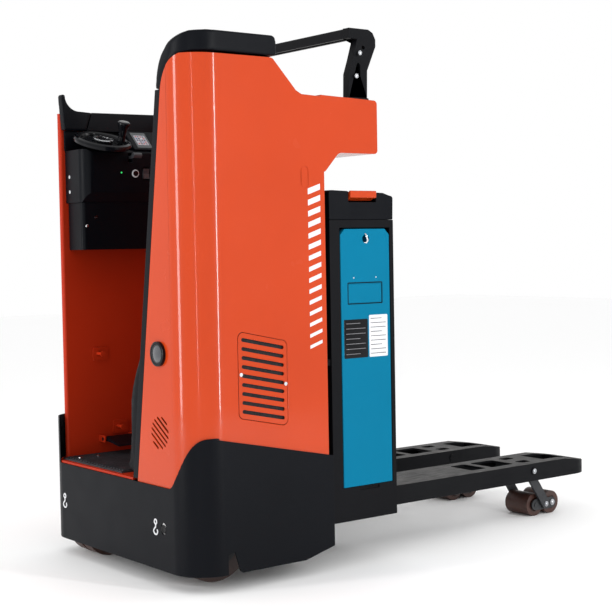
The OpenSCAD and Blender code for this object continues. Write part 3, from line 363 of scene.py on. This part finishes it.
# %% [markdown]
# ## Tools for making pieces
# A place on the truck is given the way a fitter would measure it: so far from the rear face, so
# far from the middle line, so high above the floor, all in millimetres. A flat patch such as a
# label or a screw head needs a direction too, so each face of the truck has its own placing
# function. In all of them, local Z points out of the face and local Y points up.

# %% Places and directions
REAR_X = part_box("skirt")[0][0]
NEAR_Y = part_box("skirt")[0][1]


def spot(x, y, z):
    """A point: x from the rear face, y from the middle line, z from the floor, in millimetres."""
    return Vector((REAR_X + x * MM, y * MM, z * MM))


def facing(right, up, out, point):
    turn = Matrix((Vector(right), Vector(up), Vector(out))).transposed().to_4x4()
    return Matrix.Translation(point) @ turn


def on_rear(point):
    return facing((0, -1, 0), (0, 0, 1), (-1, 0, 0), point)


def on_near(point):
    return facing((1, 0, 0), (0, 0, 1), (0, -1, 0), point)


def on_far(point):
    return facing((-1, 0, 0), (0, 0, 1), (0, 1, 0), point)


print("rear face at x", round(REAR_X, 4), "near side at y", round(NEAR_Y, 4))

# %% [markdown]
# Three ways of making small parts cover almost everything:
#
# - **turned** spins a profile round an axis, as a lathe does: screws, rings, lenses, bolts.
# - **slab** cuts a plate from an outline and softens its edges: labels, bars, tiles.
# - **pipe** sweeps a round bar along a smooth path: the lifting hook and the hook signs.
#
# Blender's ready-made shapes could be scaled to stand in for some of these. An outline is used
# instead, because it says the shape of the real part in one line. All three end in the same
# step, which shades the piece, gives it a material and fixes it to the body that it moves with.

# %% Finish a piece
def finish_piece(name, bm, material, body, crease=40):
    """Turns a bmesh into a piece that rides on a body."""
    bmesh.ops.recalc_face_normals(bm, faces=bm.faces)
    limit = math.radians(crease)
    for edge in bm.edges:
        edge.smooth = len(edge.link_faces) == 2 and edge.calc_face_angle(0) < limit
    for face in bm.faces:
        face.smooth = True
    mesh = bpy.data.meshes.new(name)
    bm.to_mesh(mesh)
    bm.free()
    obj = bpy.data.objects.new(name, mesh)
    scene.collection.objects.link(obj)
    dress(obj, material)
    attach(obj, body)
    return obj


print("edges sharper than 40 degrees stay crisp")

# %% Turned parts
def turned(name, profile, place, material, body, steps=40):
    """A lathe part. The profile is (radius, height) pairs in millimetres, from the middle out."""
    bm = bmesh.new()
    circle = [(math.cos(a), math.sin(a)) for a in (math.tau * i / steps for i in range(steps))]
    rings = []
    for radius, height in profile:
        if radius == 0:
            rings.append([bm.verts.new((0, 0, height * MM))])
            continue
        rings.append([bm.verts.new((radius * MM * c, radius * MM * s, height * MM))
                      for c, s in circle])
    for low, high in zip(rings, rings[1:]):
        for i in range(steps):
            j = (i + 1) % steps
            corners = [ring[k % len(ring)]
                       for ring, k in ((low, i), (low, j), (high, j), (high, i))]
            bm.faces.new(list(dict.fromkeys(corners)))
    if len(rings[0]) > 1 and profile[0] == profile[-1]:
        bmesh.ops.remove_doubles(bm, verts=bm.verts, dist=1e-7)
    bmesh.ops.transform(bm, matrix=place, verts=bm.verts)
    return finish_piece(name, bm, material, body)


def screw(name, place, radius, body, material):
    """A domed screw head with a round socket."""
    r = radius
    profile = [(0, -0.2), (r * 0.42, -0.2), (r * 0.46, 0.55 * r), (r * 0.75, 0.5 * r),
               (r * 0.95, 0.28 * r), (r, 0.0), (r, -0.6)]
    return turned(name, profile, place, material, body, 24)


print("lathe ready")

# %% Slabs
def round_outline(width, height, radius, steps=5):
    """The outline of a round-cornered rectangle about its centre, in millimetres."""
    radius = min(radius, width / 2 - 0.01, height / 2 - 0.01)
    points = []
    for turn, (sx, sy) in enumerate(((1, 1), (-1, 1), (-1, -1), (1, -1))):
        cx, cy = sx * (width / 2 - radius), sy * (height / 2 - radius)
        for i in range(steps + 1):
            a = math.pi / 2 * (turn + i / steps)
            points.append((cx + radius * math.cos(a), cy + radius * math.sin(a)))
    return points


SUNK = 0.4


def slab(name, outline, thick, place, material, body, soften=0.3):
    """A plate from an outline in millimetres. It is sunk a little into the face that carries it."""
    bm = bmesh.new()
    base = bm.faces.new([bm.verts.new((x * MM, y * MM, -SUNK * MM)) for x, y in outline])
    top = bmesh.ops.extrude_face_region(bm, geom=[base])
    lifted = [v for v in top["geom"] if isinstance(v, bmesh.types.BMVert)]
    bmesh.ops.translate(bm, verts=lifted, vec=(0, 0, (thick + SUNK) * MM))
    if soften:
        rim = [e for e in bm.edges if all(v in lifted for v in e.verts)]
        bmesh.ops.bevel(bm, geom=rim, offset=soften * MM, segments=2, profile=0.5, affect="EDGES")
    bmesh.ops.transform(bm, matrix=place, verts=bm.verts)
    return finish_piece(name, bm, material, body)


print("slabs are sunk", SUNK, "mm into the face below")

# %% Pipes
def pipe(name, points, radius, material, body, sides=14, smooth=8):
    """A round bar through points, in metres, with a Catmull-Rom curve between them."""
    path = []
    for i in range(len(points) - 1):
        a, b = points[max(i - 1, 0)], points[i]
        c, d = points[i + 1], points[min(i + 2, len(points) - 1)]
        for step in range(smooth):
            t = step / smooth
            path.append(0.5 * (2 * b + (c - a) * t + (2 * a - 5 * b + 4 * c - d) * t * t
                               + (3 * b - a - 3 * c + d) * t ** 3))
    path.append(points[-1])
    bm = bmesh.new()
    rings = []
    side = None
    for i, point in enumerate(path):
        along = (path[min(i + 1, len(path) - 1)] - path[max(i - 1, 0)]).normalized()
        side = along.orthogonal() if side is None else side - along * side.dot(along)
        side.normalize()
        other = along.cross(side)
        rings.append([bm.verts.new(point + radius * MM * (math.cos(a) * side + math.sin(a) * other))
                      for a in (math.tau * k / sides for k in range(sides))])
    for low, high in zip(rings, rings[1:]):
        for k in range(sides):
            bm.faces.new([low[k], low[(k + 1) % sides], high[(k + 1) % sides], high[k]])
    for ring in (rings[0], rings[-1]):
        bm.faces.new(ring)
    return finish_piece(name, bm, material, body)


print("all three makers ready")

# %% [markdown]
# ## Softening the model's edges
# A working model has knife edges. On the real truck every edge is rounded: sheet metal by its
# bend, castings and mouldings by their tool. Each visible piece is made again here from the
# model's own shape. Triangles in one plane are joined, sharp edges get a narrow round, and curved
# walls are shaded smooth. A bevel modifier could do it too. The mesh operator is used because it
# takes a list of edges, so those that are too short for the round can be left out.

# %% Softened copies
def mesh_copy(node_name):
    """A clean bmesh of a node: welded, with its flat areas joined into single faces."""
    bm = bmesh.new()
    bm.from_mesh(nodes[node_name].data)
    bmesh.ops.remove_doubles(bm, verts=bm.verts, dist=2e-6)
    bmesh.ops.dissolve_degenerate(bm, edges=bm.edges, dist=5e-6)
    bmesh.ops.dissolve_limit(bm, angle_limit=math.radians(0.6), verts=bm.verts, edges=bm.edges)
    return bm


def body_of_node(node_name):
    bodies = frame["record"]["behaviour"]["bodies"]
    return next(body for body, members in bodies.items() if node_name in members)


def soften(node_name, width, steps=2, sharp=32):
    """Stands in for a node with its sharp edges rounded to a width in millimetres."""
    bm = mesh_copy(node_name)
    volume = bm.calc_volume()
    edges = [e for e in bm.edges if len(e.link_faces) == 2
             and e.calc_face_angle(0) > math.radians(sharp)
             and e.calc_length() > 2.2 * width * MM]
    bmesh.ops.bevel(bm, geom=edges, offset=width * MM, segments=steps, profile=0.5, affect="EDGES",
                    clamp_overlap=False, loop_slide=True)
    change = abs(bm.calc_volume() / volume - 1)
    obj = finish_piece(node_name + "_made", bm, nodes[node_name].data.materials[0],
                       body_of_node(node_name))
    even = obj.modifiers.new("even", "WEIGHTED_NORMAL")
    even.keep_sharp = True
    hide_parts(node_name)
    low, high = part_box(node_name)
    box = [obj.matrix_world @ Vector(c) for c in obj.bound_box]
    grow = max(max(low[i] - min(p[i] for p in box), max(p[i] for p in box) - high[i])
               for i in range(3))
    print(f"{node_name}: {len(edges)} edges, volume {change:.1%}, grows {grow * 1000:.2f} mm")
    return obj


print("ready to soften")

# %% [markdown]
# The width of the round says how a part was made: about one and a half millimetres on cut plate,
# two to three on a moulded cover or a folded panel, and next to none on the thin flap. One width
# for all would be quicker, but it would make everything look cast in the same mould.

# %% Soften the covers and the steelwork
SOFT_EDGES = {
    "skirt": 1.3, "tower_cover": 1.6, "front_hood": 2.5, "far_wall": 2.0, "front_wall": 1.5,
    "console_housing": 2.5, "console_base": 2.0, "load_frame": 2.0, "battery_case": 2.5,
    "battery_lid": 3.0, "battery_latch": 2.0, "charging_flap": 0.4, "accessory_frame": 1.6,
    "fork_near": 1.6, "fork_far": 1.6, "deadman_pedal": 1.2, "wall_brackets": 1.0,
    "guard_rail": 2.0, "backrest_shell": 1.5, "caster_fork": 1.2, "vent_panel": 0.8,
}
for node_name, width in SOFT_EDGES.items():
    soften(node_name, width)

# %% [markdown]
# The tower's cap, the display's housing and the grab horn are mouldings with no straight edge left
# on them. They could be sculpted. Here they are rebuilt on a fine grid and relaxed, so that one
# surface rolls into the next and the piece keeps its size.

# %% Melt the moulded pieces
def melt(node_name, voxel, passes):
    """Stands in for a moulded node with all its edges flowing into each other."""
    obj = nodes[node_name].copy()
    obj.data = nodes[node_name].data.copy()
    obj.name = node_name + "_made"
    obj.parent = None
    obj.modifiers.clear()
    obj.hide_render = obj.hide_viewport = False
    scene.collection.objects.link(obj)
    grid = obj.modifiers.new("grid", "REMESH")
    grid.mode = "VOXEL"
    grid.voxel_size = voxel * MM
    relax = obj.modifiers.new("relax", "SMOOTH")
    relax.factor = 0.5
    relax.iterations = passes
    mesh = bpy.data.meshes.new_from_object(obj.evaluated_get(bpy.context.evaluated_depsgraph_get()))
    obj.modifiers.clear()
    obj.data = mesh
    for polygon in mesh.polygons:
        polygon.use_smooth = True
    slot = slot_of_node[node_name]
    dress(obj, FINISH_OF_SLOT[slot])
    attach(obj, body_of_node(node_name))
    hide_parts(node_name)
    print(f"{node_name}: {len(mesh.polygons)} faces")
    return obj


for node_name, voxel, passes in (("tower_cap", 3.0, 22), ("display_housing", 1.6, 10),
                                 ("grab_horn", 2.0, 14)):
    melt(node_name, voxel, passes)

# %% [markdown]
# ## Backrest and leg pad
# Both pads are foam under a stretched skin. The foam pushes the skin out, so the middle is
# crowned, and the skin is held where it meets the shell behind. That is a cloth under pressure
# with its back face pinned. The pad starts as the model's plain block, swells for twenty steps,
# and any point that moves too far is held back. A crown could be modelled by hand, but the cloth
# finds the pull at the corners by itself.

# %% Cloth under pressure
CLOTH_STEPS = 20
PAD_PRESSURE = 4.0


def copy_as_grid(node_name, voxel):
    obj = bpy.data.objects.new(node_name + "_made", nodes[node_name].data.copy())
    scene.collection.objects.link(obj)
    grid = obj.modifiers.new("grid", "REMESH")
    grid.mode = "VOXEL"
    grid.voxel_size = voxel * MM
    mesh = bpy.data.meshes.new_from_object(obj.evaluated_get(bpy.context.evaluated_depsgraph_get()))
    obj.modifiers.clear()
    obj.data = mesh
    return obj


def swell(obj, held, pressure):
    """Runs the cloth and returns the settled points."""
    group = obj.vertex_groups.new(name="held")
    group.add(held, 1.0, "REPLACE")
    cloth = obj.modifiers.new("cloth", "CLOTH")
    cloth.settings.quality = 6
    cloth.settings.mass = 0.3
    cloth.settings.tension_stiffness = 18
    cloth.settings.compression_stiffness = 18
    cloth.settings.bending_stiffness = 1.5
    cloth.settings.use_pressure = True
    cloth.settings.uniform_pressure_force = pressure
    cloth.settings.vertex_group_mass = "held"
    cloth.settings.effector_weights.gravity = 0
    for step in range(1, CLOTH_STEPS + 1):
        scene.frame_set(step)
    settled = obj.evaluated_get(bpy.context.evaluated_depsgraph_get()).to_mesh()
    points = [v.co.copy() for v in settled.vertices]
    obj.modifiers.clear()
    scene.frame_set(1)
    return points


print("cloth of", CLOTH_STEPS, "steps at pressure", PAD_PRESSURE)

# %% Swell the pads
PAD_RISE = 9
PAD_GRID = 6.0
PINNED_SHARE = 0.35


def stuffed_pad(node_name, out):
    """A foam pad on a slanted shell. out is the direction that it faces."""
    obj = copy_as_grid(node_name, PAD_GRID)
    mesh = obj.data
    start = [v.co.copy() for v in mesh.vertices]
    depth = [p.dot(out) for p in start]
    back, front = min(depth), max(depth)
    held = [i for i, d in enumerate(depth) if d < back + PINNED_SHARE * (front - back)]
    settled = swell(obj, held, PAD_PRESSURE)
    for vertex, a, b in zip(mesh.vertices, start, settled):
        move = b - a
        if move.length > PAD_RISE * MM:
            move = move.normalized() * PAD_RISE * MM
        vertex.co = a + move
    relax = obj.modifiers.new("relax", "SMOOTH")
    relax.iterations = 4
    finer = obj.modifiers.new("finer", "SUBSURF")
    finer.levels = finer.render_levels = 1
    mesh = bpy.data.meshes.new_from_object(obj.evaluated_get(bpy.context.evaluated_depsgraph_get()))
    obj.modifiers.clear()
    obj.data = mesh
    for polygon in mesh.polygons:
        polygon.use_smooth = True
    dress(obj, pad_skin)
    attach(obj, body_of_node(node_name))
    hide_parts(node_name)
    print(f"{node_name}: {len(mesh.polygons)} faces")
    return obj


SHELL_SLANT = math.radians(8.6)
pad_out = Vector((0, math.cos(SHELL_SLANT), math.sin(SHELL_SLANT)))
for pad_node in ("backrest_pad", "leg_pad"):
    stuffed_pad(pad_node, pad_out)

# %% [markdown]
# ## Openings in the tower
# The tower has three openings: a slanted grille on the near side, and on the rear face a round
# lamp and a rosette of slots with a horn behind. Each needs something dark behind it, or light
# would shine through the empty cover. A flange closes the slit between the front wall and the hood
# in the same way. The real ducts and the real horn could be modelled, but a nearly black plate a
# few millimetres inside, painted shade in place of their shadowed depths, looks the same from
# every side.

# %% Grille, horn and flange
BACKING_DEPTH = 7
BACKING_THICK = 1.5
BACKING_WIDER, BACKING_SHORTER = 6, 22
HORN_Y, HORN_Z, HORN_R = -231, 412, 44
HORN_DEPTH = 11
FLANGE_HEIGHT, FLANGE_THICK, FLANGE_INSET = 18, 1.5, 12


def grille_backing():
    """A nearly black plate of painted shade behind the grille, just inside the cover's near side.
    """
    low, high = (Vector(corner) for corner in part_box("vent_panel"))
    middle = (low + high) / 2
    width = (high.x - low.x) / MM + BACKING_WIDER
    height = (high.z - low.z) / MM - BACKING_SHORTER
    place = on_near(Vector((middle.x, low.y + BACKING_DEPTH * MM, middle.z)))
    slab("vent_backing", round_outline(width, height, 10), BACKING_THICK, place, painted_shade_black,
         "tractor")


def hood_flange():
    """The hood's inner flange, which closes the slit above the front wall."""
    wall_low, wall_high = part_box("front_wall")
    hood_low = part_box("front_hood")[0]
    left, right = wall_low[1] + FLANGE_INSET * MM, wall_high[1]
    middle = Vector((wall_low[0], (left + right) / 2, (wall_high[2] + hood_low[2]) / 2))
    slab("hood_flange", round_outline((right - left) / MM, FLANGE_HEIGHT, 0.5), FLANGE_THICK,
         on_rear(middle), orange_shaded_wall, "tractor", 0.4)


grille_backing()
hood_flange()
# The horn's face is nearly black: painted shade behind the slots.
turned("horn_face", [(0, 1.0), (10, 1.2), (12, 0.5), (HORN_R, 0.5), (HORN_R + 3, 0),
                     (HORN_R + 3, -1)],
       on_rear(spot(HORN_DEPTH, HORN_Y, HORN_Z)), painted_shade_black, "tractor")
print("grille backed, slit closed, horn", 2 * HORN_R, "mm across")

# %% [markdown]
# ## Rear lamp
# The lamp is a dark lens sunk in a glossy bezel. One shiny disc would be quicker, but it would
# look like a hole. So the lens is domed, which gives it one small highlight, and a dull ring
# keeps lens and bezel apart.

# %% Lamp
def rear_lamp():
    low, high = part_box("rear_lamp")
    centre = Vector((low[0], (low[1] + high[1]) / 2, (low[2] + high[2]) / 2))
    radius = (high[2] - low[2]) / 2 / MM
    glass = plain_finish("lamp_lens", (0.03, 0.034, 0.042), (0.018, 0.02, 0.026), (0.04, 0.09),
                         260, 0.0002, 20, Coat_Weight=0.8)
    turned("lamp_bezel", [(radius * 0.74, 1.2), (radius * 0.78, 3.4), (radius * 0.9, 4.0),
                          (radius * 0.99, 2.6), (radius, 0.0), (radius, -1.5)],
           on_rear(centre), black_gloss, "tractor")
    turned("lamp_lens", [(0, 3.4), (radius * 0.3, 3.0), (radius * 0.55, 2.0), (radius * 0.74, 0.4),
                         (radius * 0.74, -0.8)], on_rear(centre), glass, "tractor")
    turned("lamp_ring", [(radius * 0.66, 1.2), (radius * 0.7, 2.2), (radius * 0.75, 2.4),
                         (radius * 0.78, 1.6), (radius * 0.78, 0.2)],
           on_rear(centre), cast_iron, "tractor")
    print("lamp radius", round(radius, 1), "mm")


rear_lamp()

# %% [markdown]
# ## Marks on the outside
# The near face carries a ladder of slanted pale bars that thin out downwards. They could be a
# picture laid over the paint. Very thin slabs are used instead: their edges stay crisp from close
# by, and nothing has to be unwrapped.

# %% Slanted bars
NEAR_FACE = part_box("tower_cover")[0][1]
BATTERY_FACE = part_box("battery_case")[0][1]


def near_point(x, z, face=NEAR_FACE):
    return Vector((REAR_X + x * MM, face, z * MM))


BARS, BAR_X, BAR_TOP, BAR_PITCH = 15, 408, 1050, 30
BAR_WIDTH, BAR_SLANT = 42, 7
BAR_THICK, BAR_THINNING = 16, 0.5
PRINT_DEPTH = 0.25
for i in range(BARS):
    half, thick = BAR_WIDTH / 2, BAR_THICK - BAR_THINNING * i
    bar = [(-half, -thick / 2 - BAR_SLANT), (half, -thick / 2 + BAR_SLANT),
           (half, thick / 2 + BAR_SLANT), (-half, thick / 2 - BAR_SLANT)]
    slab(f"bar_{i}", bar, PRINT_DEPTH, on_near(near_point(BAR_X, BAR_TOP - BAR_PITCH * i)),
         white_print, "tractor", 0)
print(BARS, "bars over", BAR_PITCH * (BARS - 1), "mm")

# %% [markdown]
# The battery has two blank rating plates with ruled lines, made of slabs like the bars. The skirt
# shows where a tie-down strap hooks on, with a plain hook sign. A sign could be cut as one flat
# outline, but a pen stroke is round at its ends, so a thin pipe drawn along the hook is closer.

# %% Rating plates and hook signs
PLATE_THICK = 0.5
RULE_WIDTH = 1.6
SHORT_RULE, LONG_RULE, RULE_MARGIN = 0.6, 0.82, 0.08
faint_print = plain_finish("faint_print", (0.16, 0.16, 0.17), (0.13, 0.13, 0.14), (0.35, 0.5),
                           800, 0.0001, 40)


def rating_plate(name, x0, x1, z0, z1, ground, ink, rows):
    """A blank plate with ruled lines."""
    width, height = x1 - x0, z1 - z0
    middle = near_point((x0 + x1) / 2, (z0 + z1) / 2, BATTERY_FACE)
    slab(name, round_outline(width, height, 3), PLATE_THICK, on_near(middle), ground, "battery",
         0.15)
    for row in range(rows):
        z = z1 - height * (row + 0.8) / (rows + 0.6)
        length = width * (LONG_RULE if row % 3 else SHORT_RULE)
        start = x0 + width * RULE_MARGIN
        centre = near_point(start + length / 2, z, BATTERY_FACE - PLATE_THICK * MM)
        slab(f"{name}_line_{row}", round_outline(length, RULE_WIDTH, 0.5), 0.15, on_near(centre),
             ink, "battery", 0)


rating_plate("dark_plate", 518, 604, 582, 690, black_gloss, faint_print, 7)
rating_plate("pale_plate", 609, 677, 582, 700, white_print, black_gloss, 9)


HOOK_LINE = 3.0
HOOK_RING, HOOK_RING_Z = 6, 16
HOOK_SHAPE = [(0, 9), (0, 2), (6, -3), (10, -10), (4, -17), (-5, -17), (-10, -10), (-8, -4)]
HOOK_X = 1.6


def hook_sign(name, y, z):
    """A plain open hook with a ring on top."""
    turns = [math.tau * i / 12 for i in range(13)]
    ring = [spot(HOOK_X, y + HOOK_RING * math.sin(a), z + HOOK_RING_Z + HOOK_RING * math.cos(a))
            for a in turns]
    pipe(name + "_ring", ring, HOOK_LINE, white_print, "tractor", 10, 3)
    hook = [spot(HOOK_X, y + u, z + v) for u, v in HOOK_SHAPE]
    pipe(name, hook, HOOK_LINE, white_print, "tractor", 10, 5)


hook_sign("tie_sign_near", -206, 158)
hook_sign("tie_sign_far", 304, 158)
# The socket's dark middle is painted shade for the tow hole.
turned("tow_socket", [(0, -1.0), (7.5, -1.0), (8.5, 0.4), (11, 0.5), (11.5, 0), (11.5, -1)],
       on_rear(spot(0, -246, 160)), painted_shade_black, "tractor")
print("two plates, two hook signs and a tow socket")

# %% [markdown]
# ## Bolts of the accessory posts
# The near post of the frame over the hood has two clamp bolts on its outside. They are small, but
# bright against black, so they show from far away. Flat discs could stand in for them, but a
# turned head is bright on one side only, as a real one is.

# %% Post bolts
POST_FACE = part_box("accessory_frame")[0][1]
for i, (x, z) in enumerate(((609, 1434), (595, 1369))):
    turned(f"post_bolt_{i}", [(0, 2.6), (3.4, 2.4), (4.4, 1.6), (4.4, 0.4), (6.5, 0.3),
                              (6.5, -0.5)],
           on_near(near_point(x, z, POST_FACE)), grey_steel, "tractor", 18)
print("post bolts on the face at y", round(POST_FACE, 3))

# %% [markdown]
# ## Battery fittings
# The battery lifts out with a hook through its eye. The charging flap hangs below two rivets, and
# a thin rubber seal runs round it. The hook is a pipe, since the real one is bent from a bar. The
# seal could be a slab with a hole cut in it. Four rings of points joined into a frame do the same
# without a boolean.

# %% Hook, flap seal and rivets
eye = near_point(601, 914, BATTERY_FACE)
hook_path = [(-1, 15, -3), (0, 10, 3), (1, 3, 5), (4, -4, 4), (3, -10, 0), (-2, -12, -5)]
hook_points = [eye + Vector((x * MM, (1 - y) * MM, z * MM)) for x, z, y in hook_path]
pipe("eye_hook", hook_points, 3.2, bright_steel, "battery")


def border(name, width, height, radius, line, place, material, body):
    """A thin raised frame, such as a rubber seal round a flap."""
    bm = bmesh.new()
    half = 0.4
    outer = round_outline(width, height, radius)
    inner = round_outline(width - 2 * line, height - 2 * line, radius)
    rings = [[bm.verts.new((x * MM, y * MM, z * MM)) for x, y in outline]
             for outline, z in ((outer, -half), (outer, half), (inner, half), (inner, -half))]
    count = len(outer)
    for low, high in zip(rings, rings[1:] + rings[:1]):
        for k in range(count):
            bm.faces.new([low[k], low[(k + 1) % count], high[(k + 1) % count], high[k]])
    bmesh.ops.transform(bm, matrix=place, verts=bm.verts)
    return finish_piece(name, bm, material, body)


SEAL_MARGIN, SEAL_LINE = 6, 2.2
flap_low, flap_high = (Vector(corner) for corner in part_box("charging_flap"))
flap_middle = (flap_low + flap_high) / 2
flap_width, flap_height = (flap_high.x - flap_low.x) / MM, (flap_high.z - flap_low.z) / MM
border("flap_seal", flap_width + SEAL_MARGIN, flap_height + SEAL_MARGIN, 3, SEAL_LINE,
       on_near(Vector((flap_middle.x, BATTERY_FACE, flap_middle.z))), black_cover,
       "battery")
for i, x in enumerate((556, 637)):
    turned(f"flap_rivet_{i}", [(0, 1.2), (1.4, 1.0), (2.2, 0.2), (2.2, -0.6)],
           on_near(near_point(x, 806, BATTERY_FACE)), bright_steel, "battery", 18)
print("flap", round(flap_width), "by", round(flap_height), "mm with its seal and rivets")

# %% [markdown]
# ## Console
# The start button sits in a bright ring with a green pilot lamp beside it. One plated screw holds
# the fascia. All three are round, so all three are turned. The lamp could have a real light
# inside, but a little emission in its material is enough for something this small.

# %% Button ring, pilot lamp and screw
CONSOLE_FACE = 230
LOWER_FACE = 254
BUTTON_X, BUTTON_Z = 221, 1121
PILOT_X, PILOT_Z = 174, 1123
turned("button_ring", [(7.4, -0.5), (7.4, 1.8), (8.6, 2.6), (10.8, 2.4), (11.8, 1.0),
                       (11.8, -0.5)],
       on_near(spot(BUTTON_X, CONSOLE_FACE, BUTTON_Z)), white_print, "tractor")
green_lamp = plain_finish("green_lamp", (0.02, 0.55, 0.12), (0.015, 0.42, 0.09), (0.12, 0.2),
                          300, 0.0001, 30,
                          Emission_Color=(0.05, 0.9, 0.2, 1), Emission_Strength=0.6)
turned("green_lamp", [(0, 1.6), (1.6, 1.3), (2.6, 0.2), (2.6, -0.5)],
       on_near(spot(PILOT_X, CONSOLE_FACE, PILOT_Z)), green_lamp, "tractor", 18)
screw("fascia_screw", on_near(spot(68, LOWER_FACE, 967)), 4.5, "tractor", bright_steel)
print("console face at y", CONSOLE_FACE, "mm")

# %% [markdown]
# ## Steering wheel
# The wheel has a thick soft rim and a bright ring round its boss. It leans towards the driver, so
# its centre and its lean are read from the model: the widest face that looks up is the dish, and
# its direction is the wheel's axle. A torus would do for a plain rim. A turned profile is used
# because it can be a little deeper below, where the fingers close round it.

# %% Wheel rim and ring
def widest_face(node_name, towards):
    """Centre and outward direction of a node's largest flat face that looks a given way."""
    bm = mesh_copy(node_name)
    faces = [f for f in bm.faces if f.normal.dot(Vector(towards)) > 0.5]
    face = max(faces, key=lambda f: f.calc_area())
    centre, normal = face.calc_center_median(), face.normal.copy()
    bm.free()
    return centre, normal


RIM_OVER_DISH = 1
RIM_PROFILE = [(68, -8), (76, -10), (84, -7), (86, 0), (83, 6), (76, 9), (69, 6), (66, 0), (68, -8)]
RING_PROFILE = [(21, 8.5), (21, 9.6), (29, 9.6), (30.5, 8), (30.5, 5)]


def wheel_trim():
    dish, axle = widest_face("steering_wheel", (0, 0, 1))
    across_x, across_y = Vector((1, 0, 0)), axle.cross(Vector((1, 0, 0)))
    points = [v.co for v in nodes["steering_wheel"].data.vertices]
    centre = axle * (dish.dot(axle) + RIM_OVER_DISH * MM)
    for way in (across_x, across_y):
        reach = [p.dot(way) for p in points]
        centre = centre + way * (min(reach) + max(reach)) / 2
    place = facing(across_x, across_y, axle, centre)
    turned("wheel_rim", RIM_PROFILE, place, black_gloss, "steering", 72)
    turned("wheel_ring", RING_PROFILE, place, bright_steel, "steering")
    print("wheel leans", round(math.degrees(math.acos(axle.z)), 1), "degrees")


wheel_trim()

# %% [markdown]
# ## Display
# The display lies back in its housing. It shows no writing, only small coloured tiles on a pale
# ground, as a stand-in for a menu. A picture file could give them, but it would have to be
# shipped and unwrapped, so the tiles are thin slabs on the glass.

# %% Display tiles
PICTURE_WIDTH, PICTURE_HEIGHT = 38, 44
TILE_ROWS, TILE_COLUMNS = 5, 4
TILE_WIDTH, TILE_HEIGHT = 5.5, 4.5
TILE_PITCH_X, TILE_PITCH_Y = 8.3, 8
FIRST_TILE_X, FIRST_TILE_Y = -12.5, -16

screen_at, screen_out = widest_face("display_screen", (0, -0.7, 0.7))
screen_right = Vector((1, 0, 0))
screen_up = screen_out.cross(screen_right)
screen_place = facing(screen_right, screen_up, screen_out, screen_at)
picture = plain_finish("screen_picture", (0.42, 0.36, 0.38), (0.2, 0.24, 0.3), (0.12, 0.2),
                       300, 0.0001, 160,
                       Emission_Color=(0.5, 0.45, 0.48, 1), Emission_Strength=0.15)
slab("screen_picture", round_outline(PICTURE_WIDTH, PICTURE_HEIGHT, 2), 0.12, screen_place,
     picture, "tractor", 0)
TILE_COLOURS = {"red": (0.42, 0.05, 0.04), "blue": (0.05, 0.16, 0.3),
                "dark": (0.03, 0.03, 0.035), "pale": (0.6, 0.62, 0.62)}
tiles = [plain_finish(f"tile_{name}", colour, [0.8 * c for c in colour], (0.2, 0.3),
                      300, 0.0001, 30)
         for name, colour in TILE_COLOURS.items()]
for row in range(TILE_ROWS):
    for column in range(TILE_COLUMNS):
        kind = tiles[(row * 3 + column * 2 + row * column) % len(tiles)]
        shift = Matrix.Translation((MM * (FIRST_TILE_X + TILE_PITCH_X * column),
                                    MM * (FIRST_TILE_Y + TILE_PITCH_Y * row), 0))
        slab(f"tile_{row}_{column}", round_outline(TILE_WIDTH, TILE_HEIGHT, 0.8), 0.3,
             screen_place @ shift, kind, "tractor", 0)
print("display tiles:", TILE_ROWS * TILE_COLUMNS)

# %% [markdown]
# ## Wheel bolts
# Plated bolts hold the load rollers in their links and the arms in the forks. They are the
# brightest points under the truck. They could be placed by hand, but most of their places are
# read from the forks, links and arms, so they stay on them if a size changes.

# %% Wheel bolts
PIVOT_X, PIVOT_Z = 1378, 158
for side, turn, sign in (("near", on_near, -1), ("far", on_far, 1)):
    fork_low, fork_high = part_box("fork_" + side)
    link_low, link_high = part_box("bogie_" + side)
    fork_face = (fork_low if sign < 0 else fork_high)[1]
    link_face = (link_low if sign < 0 else link_high)[1]
    low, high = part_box(f"roller_{side}_front")
    middle_z = (low[2] + high[2]) / 2
    roller_at = Vector(((low[0] + high[0]) / 2, link_face, middle_z))
    turned(f"roller_bolt_{side}", [(0, 5), (5.5, 4.6), (7, 3.4), (7, 1), (10, 0.8), (10, -0.5)],
           turn(roller_at), grey_steel, "bogie_" + side, 18)
    arm_low, arm_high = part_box("arm_" + side)
    arm_face = (arm_low if sign < 0 else arm_high)[1]
    link_at = Vector(((link_low[0] + link_high[0]) / 2, arm_face, middle_z))
    turned(f"link_bolt_{side}", [(0, 4), (5, 3.7), (6.5, 2.6), (6.5, 0.9), (9, 0.7), (9, -0.5)],
           turn(link_at), grey_steel, "load_arm_" + side, 18)
    pivot_at = Vector((PIVOT_X * MM + REAR_X, fork_face, PIVOT_Z * MM))
    turned(f"arm_bolt_{side}", [(0, 3.2), (4.5, 3), (6, 2), (6, 0.6), (8.5, 0.5), (8.5, -0.5)],
           turn(pivot_at), grey_steel, "load", 18)
print("three bolts on each fork's running gear")
